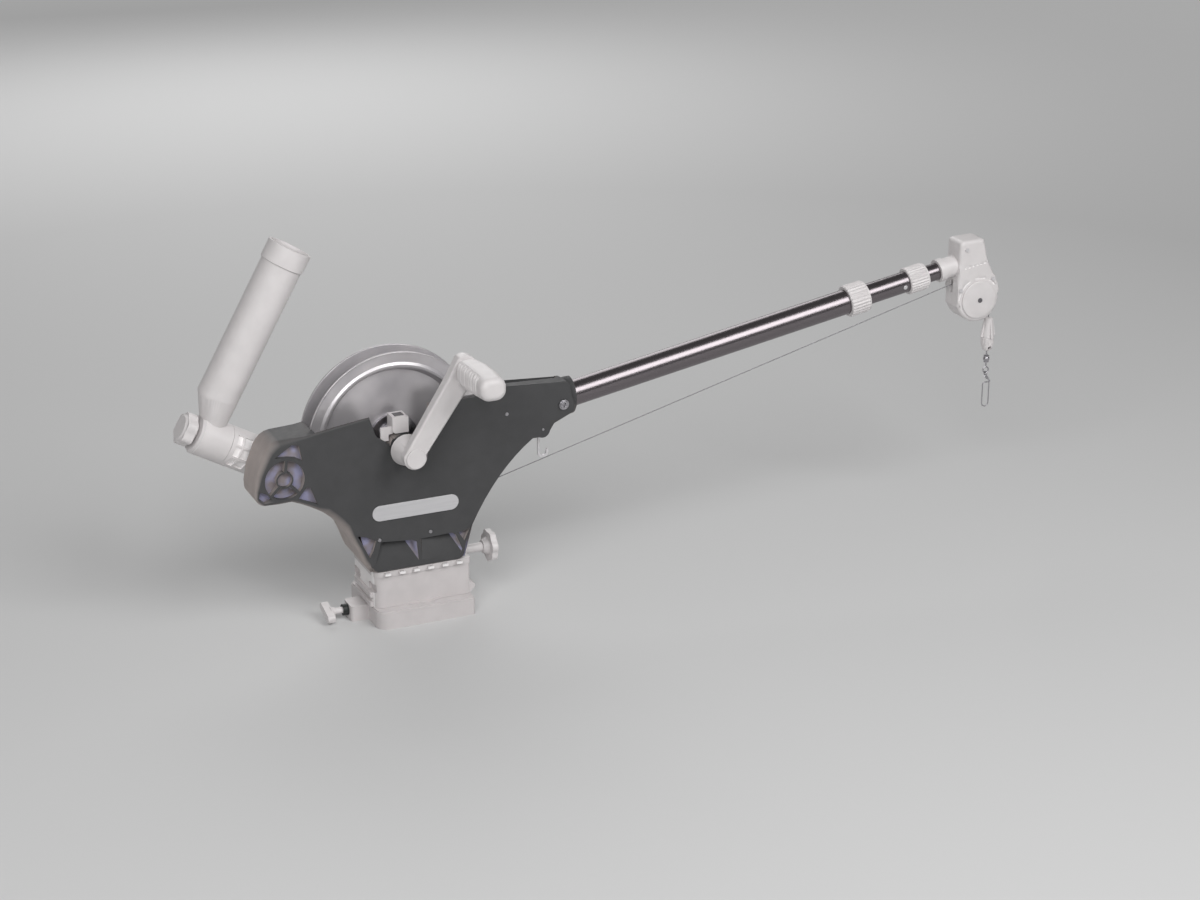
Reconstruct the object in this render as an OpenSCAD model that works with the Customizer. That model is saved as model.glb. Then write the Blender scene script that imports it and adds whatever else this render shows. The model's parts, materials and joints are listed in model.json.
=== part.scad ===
// Manual downrigger: swivel base, reel frame, spool and crank, telescoping boom, pulley head, rod holder.
// X runs forward along the boom, Z is up, the crank is on the -Y side.
// The origin is the centre of the base plate's underside.

/* [Base] */
// Length of the base plate along the boom
base_l = 123.4; // [119:0.1:140]
// Width of the base plate
base_w = 106; // [100:0.5:124]
// Height of the base plate
base_h = 22.9; // [20:0.1:28]
// Radius of the base plate's large corner
base_corner = 15; // [8:1:16]
// Bolt spacing along the boom
bolt_x = 100; // [98:0.5:102]
// Bolt spacing across the boom
bolt_y = 60; // [54:0.5:66]
// Radius of a mounting bolt hole
bolt_r = 3.4; // [2.6:0.1:4]
// Radius of the turntable under the swivel block
turntable_r = 45; // [40:0.5:46]
// Depth that the turntable sits in the base
turntable_h = 15; // [12:0.5:17]
// Number of stops of the turntable
stop_count = 8; // [4:1:12]
// Radius of the lock pin
pin_r = 4; // [3:0.1:4.5]

/* [Swivel block] */
// Length of the swivel block
block_l = 123.4; // [112:0.1:123.4]
// Width of the swivel block
block_w = 80; // [80:0.5:90]
// Height of the swivel block
block_h = 47; // [42:0.5:56]
// Radius of the swivel block's large corner
block_corner = 12; // [8:0.5:16]
// Height of the lip band at the top
lip_h = 7; // [5:0.5:9]

/* [Frame] */
// Half of the frame's width at the foot
frame_y = 40; // [39:0.5:46]
// Wall of the moulded frame
frame_t = 4; // [3:0.1:5]
// Far face of the rear lobe
lobe_y = 7; // [2:0.5:9]
// Radius of the round recess in the rear lobe
recess_r = 24; // [20:0.5:25]
// Depth of the recesses
recess_d = 7; // [4:0.5:8]
// Length of the badge plate
badge_l = 109; // [80:1:120]
// Height of the badge plate
badge_h = 19.5; // [14:0.5:24]

/* [Boom] */
// Upward tilt of the boom in degrees
boom_tilt = 10.1; // [8:0.1:12]
// Radius of the outer boom tube
tube1_r = 15.9; // [15:0.1:16.4]
// Radius of the middle boom tube
tube2_r = 13.5; // [13:0.1:13.7]
// Radius of the inner boom tube
tube3_r = 11.1; // [10.6:0.1:11.3]
// Wall of the boom tubes
tube_t = 1.5; // [1.2:0.1:1.6]
// Distance from the origin's plumb line to the end of the outer tube
tube1_end = 622; // [560:1:660]
// Length of the middle tube outside the outer one
tube2_out = 88; // [70:1:110]
// Length of the inner tube outside the middle one
tube3_out = 62; // [56:1:90]
// Length of a locking collar
collar_l = 26.5; // [24:0.5:32]

/* [Spool] */
// Radius of the spool's flanges
spool_r = 108.8; // [102:0.2:109]
// Radius of the spool's floor under the cable
floor_r = 93; // [84:0.5:94]
// Near face of the spool
spool_y0 = -15.6; // [-17:0.1:-13]
// Far face of the spool
spool_y1 = 17.9; // [14:0.1:20]
// Radius of the bright inner ring
ring_r = 92.2; // [80:0.2:92.2]
// Radius of the cable
cable_r = 0.6; // [0.4:0.05:0.8]
// Turns in the outer layer of cable
cable_turns = 12; // [6:1:13]
// Radius of the axle
axle_r = 6; // [5:0.1:7]

/* [Crank] */
// Distance from the axle to the grip's axis
crank_l = 121; // [100:1:130]
// Angle of the crank at rest in degrees
crank_a = 55.9; // [40:0.1:70]
// Outer face of the crank arm
crank_y = -85; // [-90:0.5:-82]
// Thickness of the crank arm
crank_t = 11; // [8:0.5:13]
// Length of the grip
grip_l = 76; // [60:1:90]

/* [Head] */
// Radius of the cable's bend on the pulley
pulley_r = 27.4; // [26:0.1:27.6]
// Forward distance of the pulley's axle
pulley_x = 778.5; // [774:0.1:784]
// Drop of the pulley's axle under the boom's axis
pulley_drop = 50.3; // [49:0.1:52]
// Radius of the round part of the head
head_r = 30.4; // [30.3:0.1:32]
// Half of the head's width
head_y = 16.5; // [15:0.1:18]
// Radius of the round cover on the head
cover_r = 25; // [20:0.5:26]

/* [Rod holder] */
// Distance of the rod holder's arm behind the boom's plane
arm_y = 31.8; // [31.8:0.1:36]
// Upward tilt of the arm in degrees
arm_tilt = 29.5; // [28:0.1:31]
// Radius of the arm
arm_r = 24.5; // [23:0.1:24.5]
// Distance from the recess centre to the holder's sleeve
sleeve_t = 58; // [56:0.5:62]
// Length of the holder's sleeve
sleeve_l = 37; // [36:0.5:44]
// Radius of the rod tube
rod_r = 24.75; // [22:0.05:26]
// Wall of the rod tube
rod_t = 2.4; // [2:0.1:3]
// Length of the rod tube above the arm's axis
rod_l = 244; // [180:1:280]

/* [Hidden] */
$fn = 48;
lift = 0.3;
run = 0.05;
clear = 0.3;
foot_z = base_h + lift + block_h;
pale = [0.84, 0.82, 0.82];
charcoal = [0.28, 0.28, 0.285];
steel = [0.55, 0.55, 0.57];

// Axle of the spool, measured from the foot of the frame
spool_x = -21.7;
spool_z = 157.8;
// Boom axis over the origin, measured from the foot
boom_z = 137.7;
// Centre of the round recess in the rear lobe
lobe_x = -167;
lobe_z = 137.3;

function arc(c, r, a0, a1, n) = [for (i = [0 : n]) let (a = a0 + (a1 - a0) * i / n)
    [c[0] + r * cos(a), c[1] + r * sin(a)]];
function bow(p, q, s, n) = [for (i = [0 : n]) let (t = i / n)
    p * pow(1 - t, 2) + q * 2 * t * (1 - t) + s * pow(t, 2)];
function unit(v) = v / norm(v);
function bend(p, i) = let (n = len(p), u = unit(p[i] - p[(i + n - 1) % n]), v = unit(p[(i + 1) % n] - p[i]),
    m = [-u[1] - v[1], u[0] + v[0]]) m / (1 + u * v);
function inset(p, d) = [for (i = [0 : len(p) - 1]) p[i] + d * bend(p, i)];

// Turns a flat outline in X and Z into a slab from y0 to y1
module slab(y0, y1) { translate([0, y1, 0]) rotate([90, 0, 0]) linear_extrude(y1 - y0) children(); }
module rod_y(x, z, r, y0, y1) { translate([x, y1, z]) rotate([90, 0, 0]) cylinder(h = y1 - y0, r = r); }
module on_foot() { translate([0, 0, foot_z]) children(); }
module on_axle() { translate([spool_x, 0, foot_z + spool_z]) children(); }
// Z runs along the boom from the point over the origin
module on_boom(s) {
    translate([0, 0, foot_z + boom_z]) rotate([0, 90 - boom_tilt, 0]) translate([0, 0, s]) children();
}
module tube(r, ri, h) {
    difference() {
        cylinder(h = h, r = r);
        translate([0, 0, -1]) cylinder(h = h + 2, r = ri);
    }
}
module block(l, w, h, r) { linear_extrude(h) rounded(l, w, r); }
module rounded(l, w, r) {
    square([l - 2 * r, w], center = true);
    square([l, w - 2 * r], center = true);
    for (x = [-1, 1], y = [-1, 1]) translate([x * (l / 2 - r), y * (w / 2 - r)]) circle(r);
}
// Ribbed outline of a knurled or lobed grip
function lobes(r, depth, n, steps) = [for (i = [0 : n * steps - 1]) let (a = 360 * i / (n * steps))
    (r - depth * (0.5 - 0.5 * cos(n * a))) * [cos(a), sin(a)]];

// Base
small_corner = 4;
lug_l = 22;
lug_w = 28;
pin_z = 12;
pin_travel = 7.5;
collar_x = -(base_l / 2 + lug_l);
stop_depth = 9;
ring_x = -base_l / 2 - 1.2 - pin_travel - 0.9;
handle_x = collar_x - 25.3;
spindle_r = 5;

// Rectangle from a corner to a corner, radii from the rear near corner anticlockwise
module cornered(l, w, r) {
    spots = [[-1, -1], [1, -1], [1, 1], [-1, 1]];
    difference() {
        square([l, w], center = true);
        for (i = [0 : 3]) translate([spots[i][0] * (l - r[i]) / 2, spots[i][1] * (w - r[i]) / 2])
            square(r[i], center = true);
    }
    for (i = [0 : 3]) translate([spots[i][0] * (l / 2 - r[i]), spots[i][1] * (w / 2 - r[i])]) circle(r[i]);
}
module plate(l, w, h, big) { linear_extrude(h) cornered(l, w, [big, small_corner, small_corner, small_corner]); }

module base_plate() color(pale) difference() {
    union() {
        plate(base_l, base_w, base_h - 2, base_corner);
        translate([0, 0, base_h - 2]) plate(base_l - 2, base_w - 2, 2, base_corner - 1);
        translate([collar_x + lug_l, 0, 0]) block(2 * lug_l, lug_w, 20, 5);
    }
    translate([0, 0, base_h - turntable_h]) cylinder(h = turntable_h + 1, r = turntable_r + clear, $fn = 96);
    translate([0, 0, -1]) cylinder(h = base_h, r = spindle_r + 0.02);
    translate([0, 0, -1]) cylinder(h = 4.5, r = 11);
    for (x = [-1, 1], y = [-1, 1]) translate([x * bolt_x / 2, y * bolt_y / 2, -1]) {
        cylinder(h = base_h + 2, r = bolt_r);
        translate([0, 0, base_h - 3.5]) cylinder(h = 6, r = bolt_r + 2.4);
    }
    translate([collar_x - 1, 0, pin_z]) rotate([0, 90, 0]) cylinder(h = lug_l + base_l / 2, r = pin_r + run);
    translate([collar_x - 1, 0, pin_z]) rotate([0, 90, 0]) cylinder(h = lug_l - 0.2, r = pin_r + 2.4);
}

// Lock pin, parked with its tip just outside the turntable
module lock_pin() color(pale) {
    translate([-turntable_r - 0.7, 0, pin_z]) rotate([0, -90, 0])
        cylinder(h = -handle_x - turntable_r - 0.7, r = pin_r);
    translate([ring_x, 0, pin_z]) rotate([0, -90, 0]) cylinder(h = 2, r = pin_r + 2.2);
    translate([handle_x + 9, 0, pin_z]) rotate([0, -90, 0]) cylinder(h = 6, r1 = 5, r2 = 6.5);
    translate([handle_x - 4.5, 0, pin_z]) rotate([15, 0, 0]) rotate([90, 0, 90]) linear_extrude(9) rounded(34, 10, 4);
}

module lock_pin_collar() color([0.13, 0.15, 0.14]) translate([collar_x, 0, pin_z]) rotate([0, -90, 0]) {
    tube(7, pin_r + run, 7);
    translate([0, 0, -3]) tube(pin_r + 2.35, pin_r + run, 3);
}

spring_x0 = collar_x + 3.3;
spring_l = ring_x - 2.3 - spring_x0;
module lock_pin_spring() color(steel) translate([spring_x0, 0, pin_z]) rotate([0, 90, 0])
    tube(pin_r + 1.9, pin_r + 0.6, spring_l);

// Swivel block with its turntable
block_floor = base_h + 12;
slot_pitch = 18.3;
module swivel_block() color(pale) {
    difference() {
        union() {
            translate([0, 0, base_h + lift]) plate(block_l - 1.6, block_w - 1.6, block_h, block_corner);
            translate([0, 0, foot_z - lip_h]) plate(block_l, block_w, lip_h, block_corner);
            // Flared rib at the front end
            rotate([90, 0, 0]) translate([0, 0, -block_w / 2 + 2]) linear_extrude(block_w - 4)
                polygon([[50, base_h + 15.6], [block_l / 2 - 0.8, base_h + 15.6], [block_l / 2 + 5.4, base_h + 11],
                    [block_l / 2 + 5.4, base_h + 7], [block_l / 2 - 1, base_h + 1], [50, base_h + 1]]);
            // Two ribs at the rear end
            for (z = [base_h + lift, base_h + 12.6]) translate([-block_l / 2 + 1.5, 0, z]) block(9, block_w - 20, 6.5, 2);
        }
        // Slots under the frame's edge
        for (i = [-2.5 : 2.5], y = [-1, 1]) translate([i * slot_pitch, y * block_w / 2, foot_z - 2.6])
            cube([7, 3, 2.6], center = true);
        // Hollow under the frame
        translate([0, 0, block_floor]) block(block_l - 12, block_w - 10, block_h, block_corner - 5);
        // Rounded pockets in the rear end
        for (y = [-26, 26]) translate([-block_l / 2 - 4, y, base_h + 24.6]) rotate([90, 0, 90]) linear_extrude(8)
            rounded(22, 11, 5);
        translate([0, 0, base_h - turntable_h]) cylinder(h = 40, r = spindle_r + run);
        translate([0, 0, knob_z]) rotate([0, 90, 0]) cylinder(h = 80, r = knob_shaft_r + run);
    }
    // Boss of the clamp knob
    difference() {
        translate([30, -12, block_floor]) cube([22, 24, foot_z - base_h - 12.5]);
        translate([20, 0, knob_z]) rotate([0, 90, 0]) cylinder(h = 80, r = knob_shaft_r + run);
    }
    difference() {
        translate([0, 0, base_h + lift + 0.01 - turntable_h]) cylinder(h = turntable_h + 2, r = turntable_r, $fn = 96);
        translate([0, 0, base_h - turntable_h]) cylinder(h = 40, r = spindle_r + run);
        for (i = [0 : stop_count - 1]) rotate([0, 0, 360 * i / stop_count]) translate([-turntable_r - 1, 0, pin_z])
            rotate([0, 90, 0]) cylinder(h = stop_depth + 1, r = pin_r + clear);
    }
}

module pivot_bolt() color(steel) {
    translate([0, 0, block_floor + clear]) cylinder(h = 6, r = 9, $fn = 6);
    translate([0, 0, 0.7]) cylinder(h = base_h + 14, r = spindle_r);
    translate([0, 0, 0.7]) cylinder(h = 2.5, r = 10.5);
}

// Clamp knob at the front
knob_z = foot_z - 6.6;
knob_shaft_r = 5.7;
knob_x = 98.5;
module swivel_knob() color(pale) translate([0, 0, knob_z]) rotate([0, 90, 0]) {
    translate([0, 0, 34]) cylinder(h = knob_x - 33, r = knob_shaft_r);
    translate([0, 0, knob_x - 7]) cylinder(h = 8, r1 = 8, r2 = 12);
    translate([0, 0, knob_x]) linear_extrude(7.5) polygon(lobes(20.5, 2.4, 7, 10));
    translate([0, 0, knob_x + 7.5]) cylinder(h = 2, r1 = 17.5, r2 = 15);
}

// Frame outlines, measured from the foot
foot_front = concat([[-52, 0]], arc([44.5, 9], 9, -90, -12, 5), [[56, 21.8]],
    bow([65, 42], [98, 108], [145, 140.8], 8), arc([158, 149], 9.6, -120, -10, 7),
    [[173, 156]], arc([195, 170.5], 4.5, -80, -5, 4));
top_front = concat([[199, 178]], arc([186, 200], 8, 12, 80, 4), [[112, 214.5], [100, 213.6]]);
rear_low = concat(bow([-159, 108.3], [-103, 88], [-79.5, 31.3], 10), bow([-75, 18], [-69, 1], [-57, 0], 4));
lobe_back = concat([[-140, 187]], bow([-170, 185.5], [-186, 184], [-193, 163], 5),
    [[-199.5, 147], [-203, 128]], arc([-190.5, 121.2], 12.3, 175, 262, 6), [[-175, 107.6]]);
near_outline = concat(foot_front, top_front, [[69, 205.8], [8, 205.8], [-60, 198.3], [-103, 192.8]], lobe_back, rear_low);
far_outline = concat(foot_front, top_front, [[88, 200], [62, 186], [20, 181], [-60, 181], [-104, 176], [-121, 150]],
    bow([-124.5, 92.5], [-98, 78], [-79.5, 31.3], 7), bow([-75, 18], [-69, 1], [-57, 0], 4));
lobe_outline = concat([[-125, 90], [-125, 189.3]], lobe_back, [[-159, 108.3], [-140, 101]]);

// Corner points of the raised triangles and scoops on the near face
tri_top = [[-157, 179.5], [-148, 177.5], [-144.5, 158], [-153, 163], [-162, 164.8], [-178, 166]];
tri_right = [[-141, 124.5], [-136, 123.5], [-128, 100.5], [-152, 111]];
tri_rear = [[-197, 127], [-190, 124], [-183.5, 115.5], [-192, 112.5], [-199, 119]];
foot_left = [[-81, 52], [-70, 49], [-58, 42], [-62, 30], [-66.5, 21.5]];
foot_right = [[46.5, 35.5], [60, 37], [53.8, 23.8]];
scoop_a = [[-52, 39.5], [-13, 36], [-7, 33], [-5, 7.5], [-61, 8]];
scoop_b = [[-1, 35.5], [38, 36.5], [43, 33], [51, 13], [48, 8], [0.5, 7.5]];
// The two low bolts pass under the spool's edge
function under_spool(x) = [x, spool_z - sqrt(pow(spool_r + 10.9, 2) - pow(x - spool_x, 2))];
bolt_spots = [under_spool(-53.8), under_spool(10.8), [111.2, 177.4]];
hook_pin = [158, 150.5];
clamp_spot = [185, 178.8];
clamp_tip = -tube1_r + 0.7;
guide_spot = [71, 74.5];
guide_r = 4;
scoop_d = 11;
scoop_slope = 18;

module wedge_top(z0, slope, y) {
    // Everything above a plane that falls towards the far side
    translate([88, y, z0]) rotate([-slope, 0, 0]) rotate([0, 3.6, 0]) translate([0, -40, 0]) cube([160, 130, 60]);
}
module socket_body(y0, y1) {
    intersection() {
        slab(y0, y1) polygon([[92, 60], [92, 230], [210, 230], [210, 100]]);
        on_boom_local(80) cylinder(h = 140, r = tube1_r + 7);
    }
}
module on_boom_local(s) { translate([0, 0, boom_z]) rotate([0, 90 - boom_tilt, 0]) translate([0, 0, s]) children(); }
module socket_cuts() {
    on_boom_local(tube1_root - 2) cylinder(h = 240, r = tube1_r + run);
    for (p = bolt_spots) rod_y(p[0], p[1], 2.3, -60, 60);
    rod_y(clamp_spot[0], clamp_spot[1], 2.5 + run, -60, 0);
    rod_y(guide_spot[0], guide_spot[1], guide_r + run, -frame_y + 1.5, frame_y - 1.5);
}
module bosses(y0, y1) {
    for (p = [bolt_spots[0], bolt_spots[1]]) rod_y(p[0], p[1], 5.5, y0, y1);
    rod_y(guide_spot[0], guide_spot[1], guide_r + 3, y0 < -1 ? y0 : y1 - 8, y0 < -1 ? y0 + 8 : y1);
}
tube1_root = 102;

module frame_near() color(charcoal) on_foot() {
    difference() {
        union() {
            difference() {
                union() {
                    slab(-frame_y, 0) polygon(near_outline);
                    slab(-2, lobe_y) polygon(lobe_outline);
                }
                slab(-frame_y + frame_t, lobe_y - frame_t) intersection() {
                    polygon(inset(near_outline, frame_t));
                    polygon([[-108, -10], [-108, 300], [90, 300], [90, 100], [200, 100], [200, -10]]);
                }
                slab(-frame_y + frame_t + recess_d, lobe_y - frame_t) intersection() {
                    polygon(inset(near_outline, frame_t));
                    polygon([[-300, -10], [-300, 300], [-107, 300], [-107, -10]]);
                }
                slab(-frame_y + frame_t, 1) intersection() {
                    polygon(inset(near_outline, frame_t));
                    polygon([[89, 60], [89, 230], [196, 230], [196, 100]]);
                }
            }
            socket_body(-frame_y + 1, 0);
            bosses(-frame_y + 1, 0);
            scoop_floor();
        }
        // The spool turns in its own space, open at the top
        rod_y(spool_x, spool_z, spool_r + 2.4, -frame_y + 16, 20);
        slab(-frame_y + frame_t, 1) polygon([[-125, 150], [-131, 260], [86, 260], [86, 150]]);
        // Notch for the counter, round the axle's boss
        slab(-frame_y - 1, -frame_y + frame_t + 1) difference() {
            polygon(concat([[-60.5, 210], [-60.5, 197], [-54, 176], [-50, 171]], [[-38, 162], [8, 162], [12, 210]]));
            translate([spool_x, spool_z]) circle(bushing_r + 3.5);
        }
        rod_y(spool_x, spool_z, bushing_r, -frame_y - 1, -frame_y + 12);
        near_recesses();
        wedge_top(215, 10, -frame_y);
        socket_cuts();
        // Slot of the storage hook and its pin
        translate([146, hook_y - 3.2, 130]) cube([24, 6.4, 21.6]);
        rod_y(hook_pivot[0], hook_pivot[1], 1.85, -frame_y + 6, hook_y + 9);
        rod_y(hook_pin[0], hook_pin[1], 1.6, -frame_y - 1, -frame_y + 7);
        // Way out for the cable
        translate([60, -4.5, 52]) cube([50, 9, 34]);
    }
    difference() {
        rod_y(spool_x, spool_z, bushing_r + 3.5, -frame_y, -frame_y + 12);
        rod_y(spool_x, spool_z, bushing_r, -frame_y - 1, -frame_y + 13);
    }
}
module scoop_floor() {
    slab(-frame_y + 1, -frame_y + scoop_d + 3) polygon([[-66, 3], [-76, 52], [66, 46], [54, 3]]);
}
module near_recesses() {
    difference() {
        rod_y(lobe_x, lobe_z, recess_r, -frame_y - 1, -frame_y + recess_d);
        rod_y(lobe_x, lobe_z, 10.4, -frame_y - 1, -frame_y + recess_d + 1);
        for (a = [83, 226, 312]) translate([lobe_x, 0, lobe_z]) rotate([0, -a, 0])
            translate([0, -frame_y - 2, -1.7]) cube([recess_r + 2, recess_d + 4, 3.4]);
    }
    rod_y(lobe_x, lobe_z, 8.6, -frame_y - 1, -frame_y + recess_d - 2);
    for (p = [tri_top, tri_right, tri_rear, foot_left, foot_right])
        slab(-frame_y - 1, -frame_y + recess_d - 1.5) polygon(p);
    // Scoops that run out at the foot and slope up to the surface at their front ends
    for (p = [scoop_a, scoop_b]) let (front = max([for (q = p) q[0]]) + 1) intersection() {
        slab(-frame_y - 1, -frame_y + scoop_d + 1) polygon(p);
        translate([-100, -frame_y, 0]) rotate([90, 0, 90]) linear_extrude(200)
            polygon([[-1, 5.5], [0, 8], [scoop_d, 38], [scoop_d, 60], [-1, 60]]);
        translate([0, -frame_y, 0]) linear_extrude(60)
            polygon([[-80, -1], [-80, scoop_d], [front - scoop_slope, scoop_d], [front, -0.4], [front, -1]]);
    }
}

module frame_far() color(charcoal) on_foot() {
    difference() {
        union() {
            difference() {
                slab(clear / 2, frame_y) polygon(far_outline);
                slab(-1, frame_y - frame_t) intersection() {
                    polygon(inset(far_outline, frame_t));
                    polygon([[-150, -10], [-150, 300], [89, 300], [89, 100], [200, 100], [200, -10]]);
                }
            }
            socket_body(clear / 2, frame_y - 1);
            bosses(clear / 2, frame_y - 1);
            rod_y(spool_x, spool_z, 16, frame_y - 14, frame_y);
        }
        rod_y(spool_x, spool_z, spool_r + 2.4, -1, spool_y1 + 2);
        slab(-1, frame_y - frame_t) polygon([[-118, 160], [-130, 260], [86, 260], [86, 160]]);
        rod_y(spool_x, spool_z, axle_r + run, 0, 60);
        wedge_top(208, 26.6, 0);
        socket_cuts();
        translate([60, -4.5, 52]) cube([50, 9, 34]);
        translate([lobe_x, arm_y, lobe_z]) rotate([0, -90 + arm_tilt, 0]) translate([0, 0, -40])
            cylinder(h = 60, r = arm_r + 1);
    }
}

// Long bolts with their heads on the far face and the short hook screw
module frame_bolts() color(steel) on_foot() {
    for (p = bolt_spots) {
        rod_y(p[0], p[1], 2.2, -frame_y - 0.6, frame_y + 1);
        rod_y(p[0], p[1], 4, frame_y, frame_y + 3);
    }
    rod_y(hook_pin[0], hook_pin[1], 1.5, -frame_y - 0.6, -frame_y + 6.5);
}

badge_x = -7.5;
badge_z = 76.8;
module badge() color([0.8, 0.8, 0.8]) on_foot() slab(-frame_y - 1.6, -frame_y)
    translate([badge_x, badge_z]) rounded(badge_l, badge_h, badge_h / 2 - 0.01);

module boom_clamp_screw() color(steel) on_foot() {
    difference() {
        union() {
            rod_y(clamp_spot[0], clamp_spot[1], 6.4, -frame_y - 2, -frame_y);
            rod_y(clamp_spot[0], clamp_spot[1], 5, -frame_y - 3.6, -frame_y - 2);
        }
        for (a = [20, 110]) translate([clamp_spot[0], -frame_y - 3, clamp_spot[1]]) rotate([0, a, 0])
            cube([6, 4, 1.6], center = true);
    }
    rod_y(clamp_spot[0], clamp_spot[1], 2.5, -frame_y, clamp_tip);
}

module line_guide_bar() color(steel) on_foot()
    rod_y(guide_spot[0], guide_spot[1], guide_r, -frame_y + 1.6, frame_y - 1.6);

// Spool, axle and drive
bushing_r = 12;
sleeve_r = 9;
hub_r = 24;
module spool_axle() color(steel) on_axle() rod_y(0, 0, axle_r - 0.01, crank_y + 3.2, frame_y + 10);
module axle_nut() color(steel) on_axle() difference() {
    translate([0, frame_y + 8, 0]) rotate([90, 0, 0]) cylinder(h = 8, r = 10.5, $fn = 6);
    rod_y(0, 0, axle_r + 0.02, frame_y - 1, frame_y + 9);
}
module near_bushing() color([0.2, 0.2, 0.2]) on_axle() difference() {
    union() {
        rod_y(0, 0, bushing_r - 0.02, -frame_y, -frame_y + 12);
        rod_y(0, 0, bushing_r + 2.5, -frame_y - 1.5, -frame_y);
    }
    rod_y(0, 0, sleeve_r + run, -frame_y - 2, -frame_y + 13);
}

// Half profile of the spool: radius against depth from the near face
spool_w = spool_y1 - spool_y0;
flange_t = 5.2;
module spool() color([0.62, 0.62, 0.64]) on_axle() translate([0, spool_y0, 0]) rotate([-90, 0, 0])
    rotate_extrude($fn = 120) polygon([[hub_r, 9], [ring_r - 8, 9], [ring_r - 3, 0.8], [ring_r, 0],
        [ring_r + 3, 2.2], [spool_r - 4, 1.2], [spool_r - 1, 0], [spool_r, 1.2], [spool_r - 0.6, 3.2],
        [floor_r + 1, flange_t - 0.7], [floor_r, flange_t], [floor_r, spool_w - flange_t], [floor_r + 1, spool_w - flange_t + 0.7],
        [spool_r - 0.6, spool_w - 3.2], [spool_r, spool_w - 1.2], [spool_r - 1, spool_w],
        [ring_r, spool_w - 2], [ring_r - 3, spool_w - 4], [ring_r - 6, spool_w - 17], [hub_r, spool_w - 17]]);
module spool_hub() color(steel) on_axle() difference() {
    union() {
        rod_y(0, 0, hub_r - 0.02, spool_y0 + 6, spool_y1 + 2);
        rod_y(0, 0, hub_r + 6, spool_y0 + 5, spool_y0 + 9);
        translate([0, spool_y1 + 2, 0]) rotate([-90, 0, 0]) linear_extrude(5) polygon(teeth);
    }
    rod_y(0, 0, axle_r + run, -40, 40);
}
tooth_r = 24;
tooth_n = 16;
teeth = [for (i = [0 : tooth_n - 1]) each let (a = 360 * i / tooth_n)
    [tooth_r * [cos(a), sin(a)], (tooth_r - 4) * [cos(a + 3), sin(a + 3)]]];
// Pawl over the ratchet, on a pin in the far plate
pawl_x = tooth_r + 12;
module ratchet_pawl() color(steel) on_axle() translate([pawl_x, 0, 0]) rotate([0, 90, 0]) {
    rod_y(0, 0, 6, spool_y1 + 2.5, spool_y1 + 6.5);
    translate([0, spool_y1 + 6.5, 0]) rotate([90, 0, 0]) linear_extrude(4)
        polygon([[-5, -3], [16, -13], [17.5, -11], [8, 5], [0, 6]]);
    rod_y(0, 0, 3, spool_y1 + 6, frame_y - frame_t - 0.3);
}

// Outer layer of cable: one tube wound over the core
wound_r = floor_r + 2.8;
wind_pitch = (spool_w - 2 * flange_t - 2) / cable_turns;
wind_steps = 24 * cable_turns;
wind_pts = [for (i = [0 : wind_steps]) let (a = -90 + 360 * i / 24)
    [wound_r * cos(a), spool_y0 + flange_t + 1 + wind_pitch * i / 24, wound_r * sin(a)]];
wind_gap = min([for (i = [0 : 24]) norm(wind_pts[i + 24] - wind_pts[i])]) - 2 * cable_r;
echo(least_gap_between_turns = wind_gap);
module cable_winding() color([0.6, 0.6, 0.6]) on_axle() {
    sides = 6;
    pts = [for (i = [0 : wind_steps]) each let (a = -90 + 360 * i / 24) [for (k = [0 : sides - 1])
        let (b = 360 * k / sides) wind_pts[i] + cable_r * [cos(b) * cos(a), sin(b), cos(b) * sin(a)]]];
    last = wind_steps * sides;
    faces = concat([[for (k = [0 : sides - 1]) k]], [[for (k = [0 : sides - 1]) last + sides - 1 - k]],
        [for (i = [0 : wind_steps - 1], k = [0 : sides - 1]) each let (j = (k + 1) % sides, o = i * sides)
            [[o + k, o + sides + j, o + j], [o + k, o + sides + k, o + sides + j]]]);
    polyhedron(pts, faces, convexity = 10);
    difference() {
        rod_y(0, 0, floor_r + 1.2, spool_y0 + flange_t + 0.3, spool_y1 - flange_t - 0.3, $fn = 96);
        rod_y(0, 0, floor_r + 0.1, spool_y0, spool_y1, $fn = 96);
    }
}

// Crank
module crank_sleeve() color(steel) on_axle() difference() {
    union() {
        rod_y(0, 0, sleeve_r, -57, spool_y0 + 1.5);
        rod_y(0, 0, 20, spool_y0 + 0.6, spool_y0 + 4.6);
        rod_y(0, 0, 12, spool_y0 - 7.2, spool_y0 - 4.8);
        rod_y(0, 0, 10, spool_y0 - 5, spool_y0 + 1);
        rod_y(0, 0, 12, spool_y0 - 1.2, spool_y0 + 1);
    }
    rod_y(0, 0, axle_r + run, -80, 0);
}
grip_x = crank_l * cos(crank_a);
grip_z = crank_l * sin(crank_a);
arm_side = 11.6;
crank_outline = concat(arc([0, 0], 14.5, 108, 312, 12), arc([crank_l, 0], 15, -62, -18, 4),
    [[crank_l + 15, 0]], arc([crank_l, 0], 15, 18, 70, 4), [[crank_l - 20, arm_side]]);
module crank_arm() color(pale) on_axle() difference() {
    union() {
        rotate([0, -crank_a, 0]) slab(crank_y - 1.6, crank_y + crank_t) polygon(crank_outline);
        translate([0, crank_y + crank_t - 1, 0]) rotate([-90, 0, 0]) cylinder(h = 21, r1 = 14, r2 = 19.5);
        translate([grip_x, crank_y - 5, grip_z]) rotate([-90, 0, 0]) cylinder(h = 6, r1 = 11, r2 = 12.2);
    }
    rod_y(0, 0, axle_r + run, crank_y + 2, 0);
    rod_y(0, 0, sleeve_r + 0.02, -58, 0);
    rod_y(0, 0, 4.05, crank_y - 3, crank_y + 4);
    rod_y(grip_x, grip_z, grip_pin_r + 0.02, crank_y - 20, crank_y + 20);
}
grip_pin_r = 5;
module crank_cap() color(pale) on_axle() {
    rod_y(0, 0, 12, crank_y - 3.4, crank_y - 1.6);
    rod_y(0, 0, 4, crank_y - 2, crank_y + 3);
}
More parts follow.
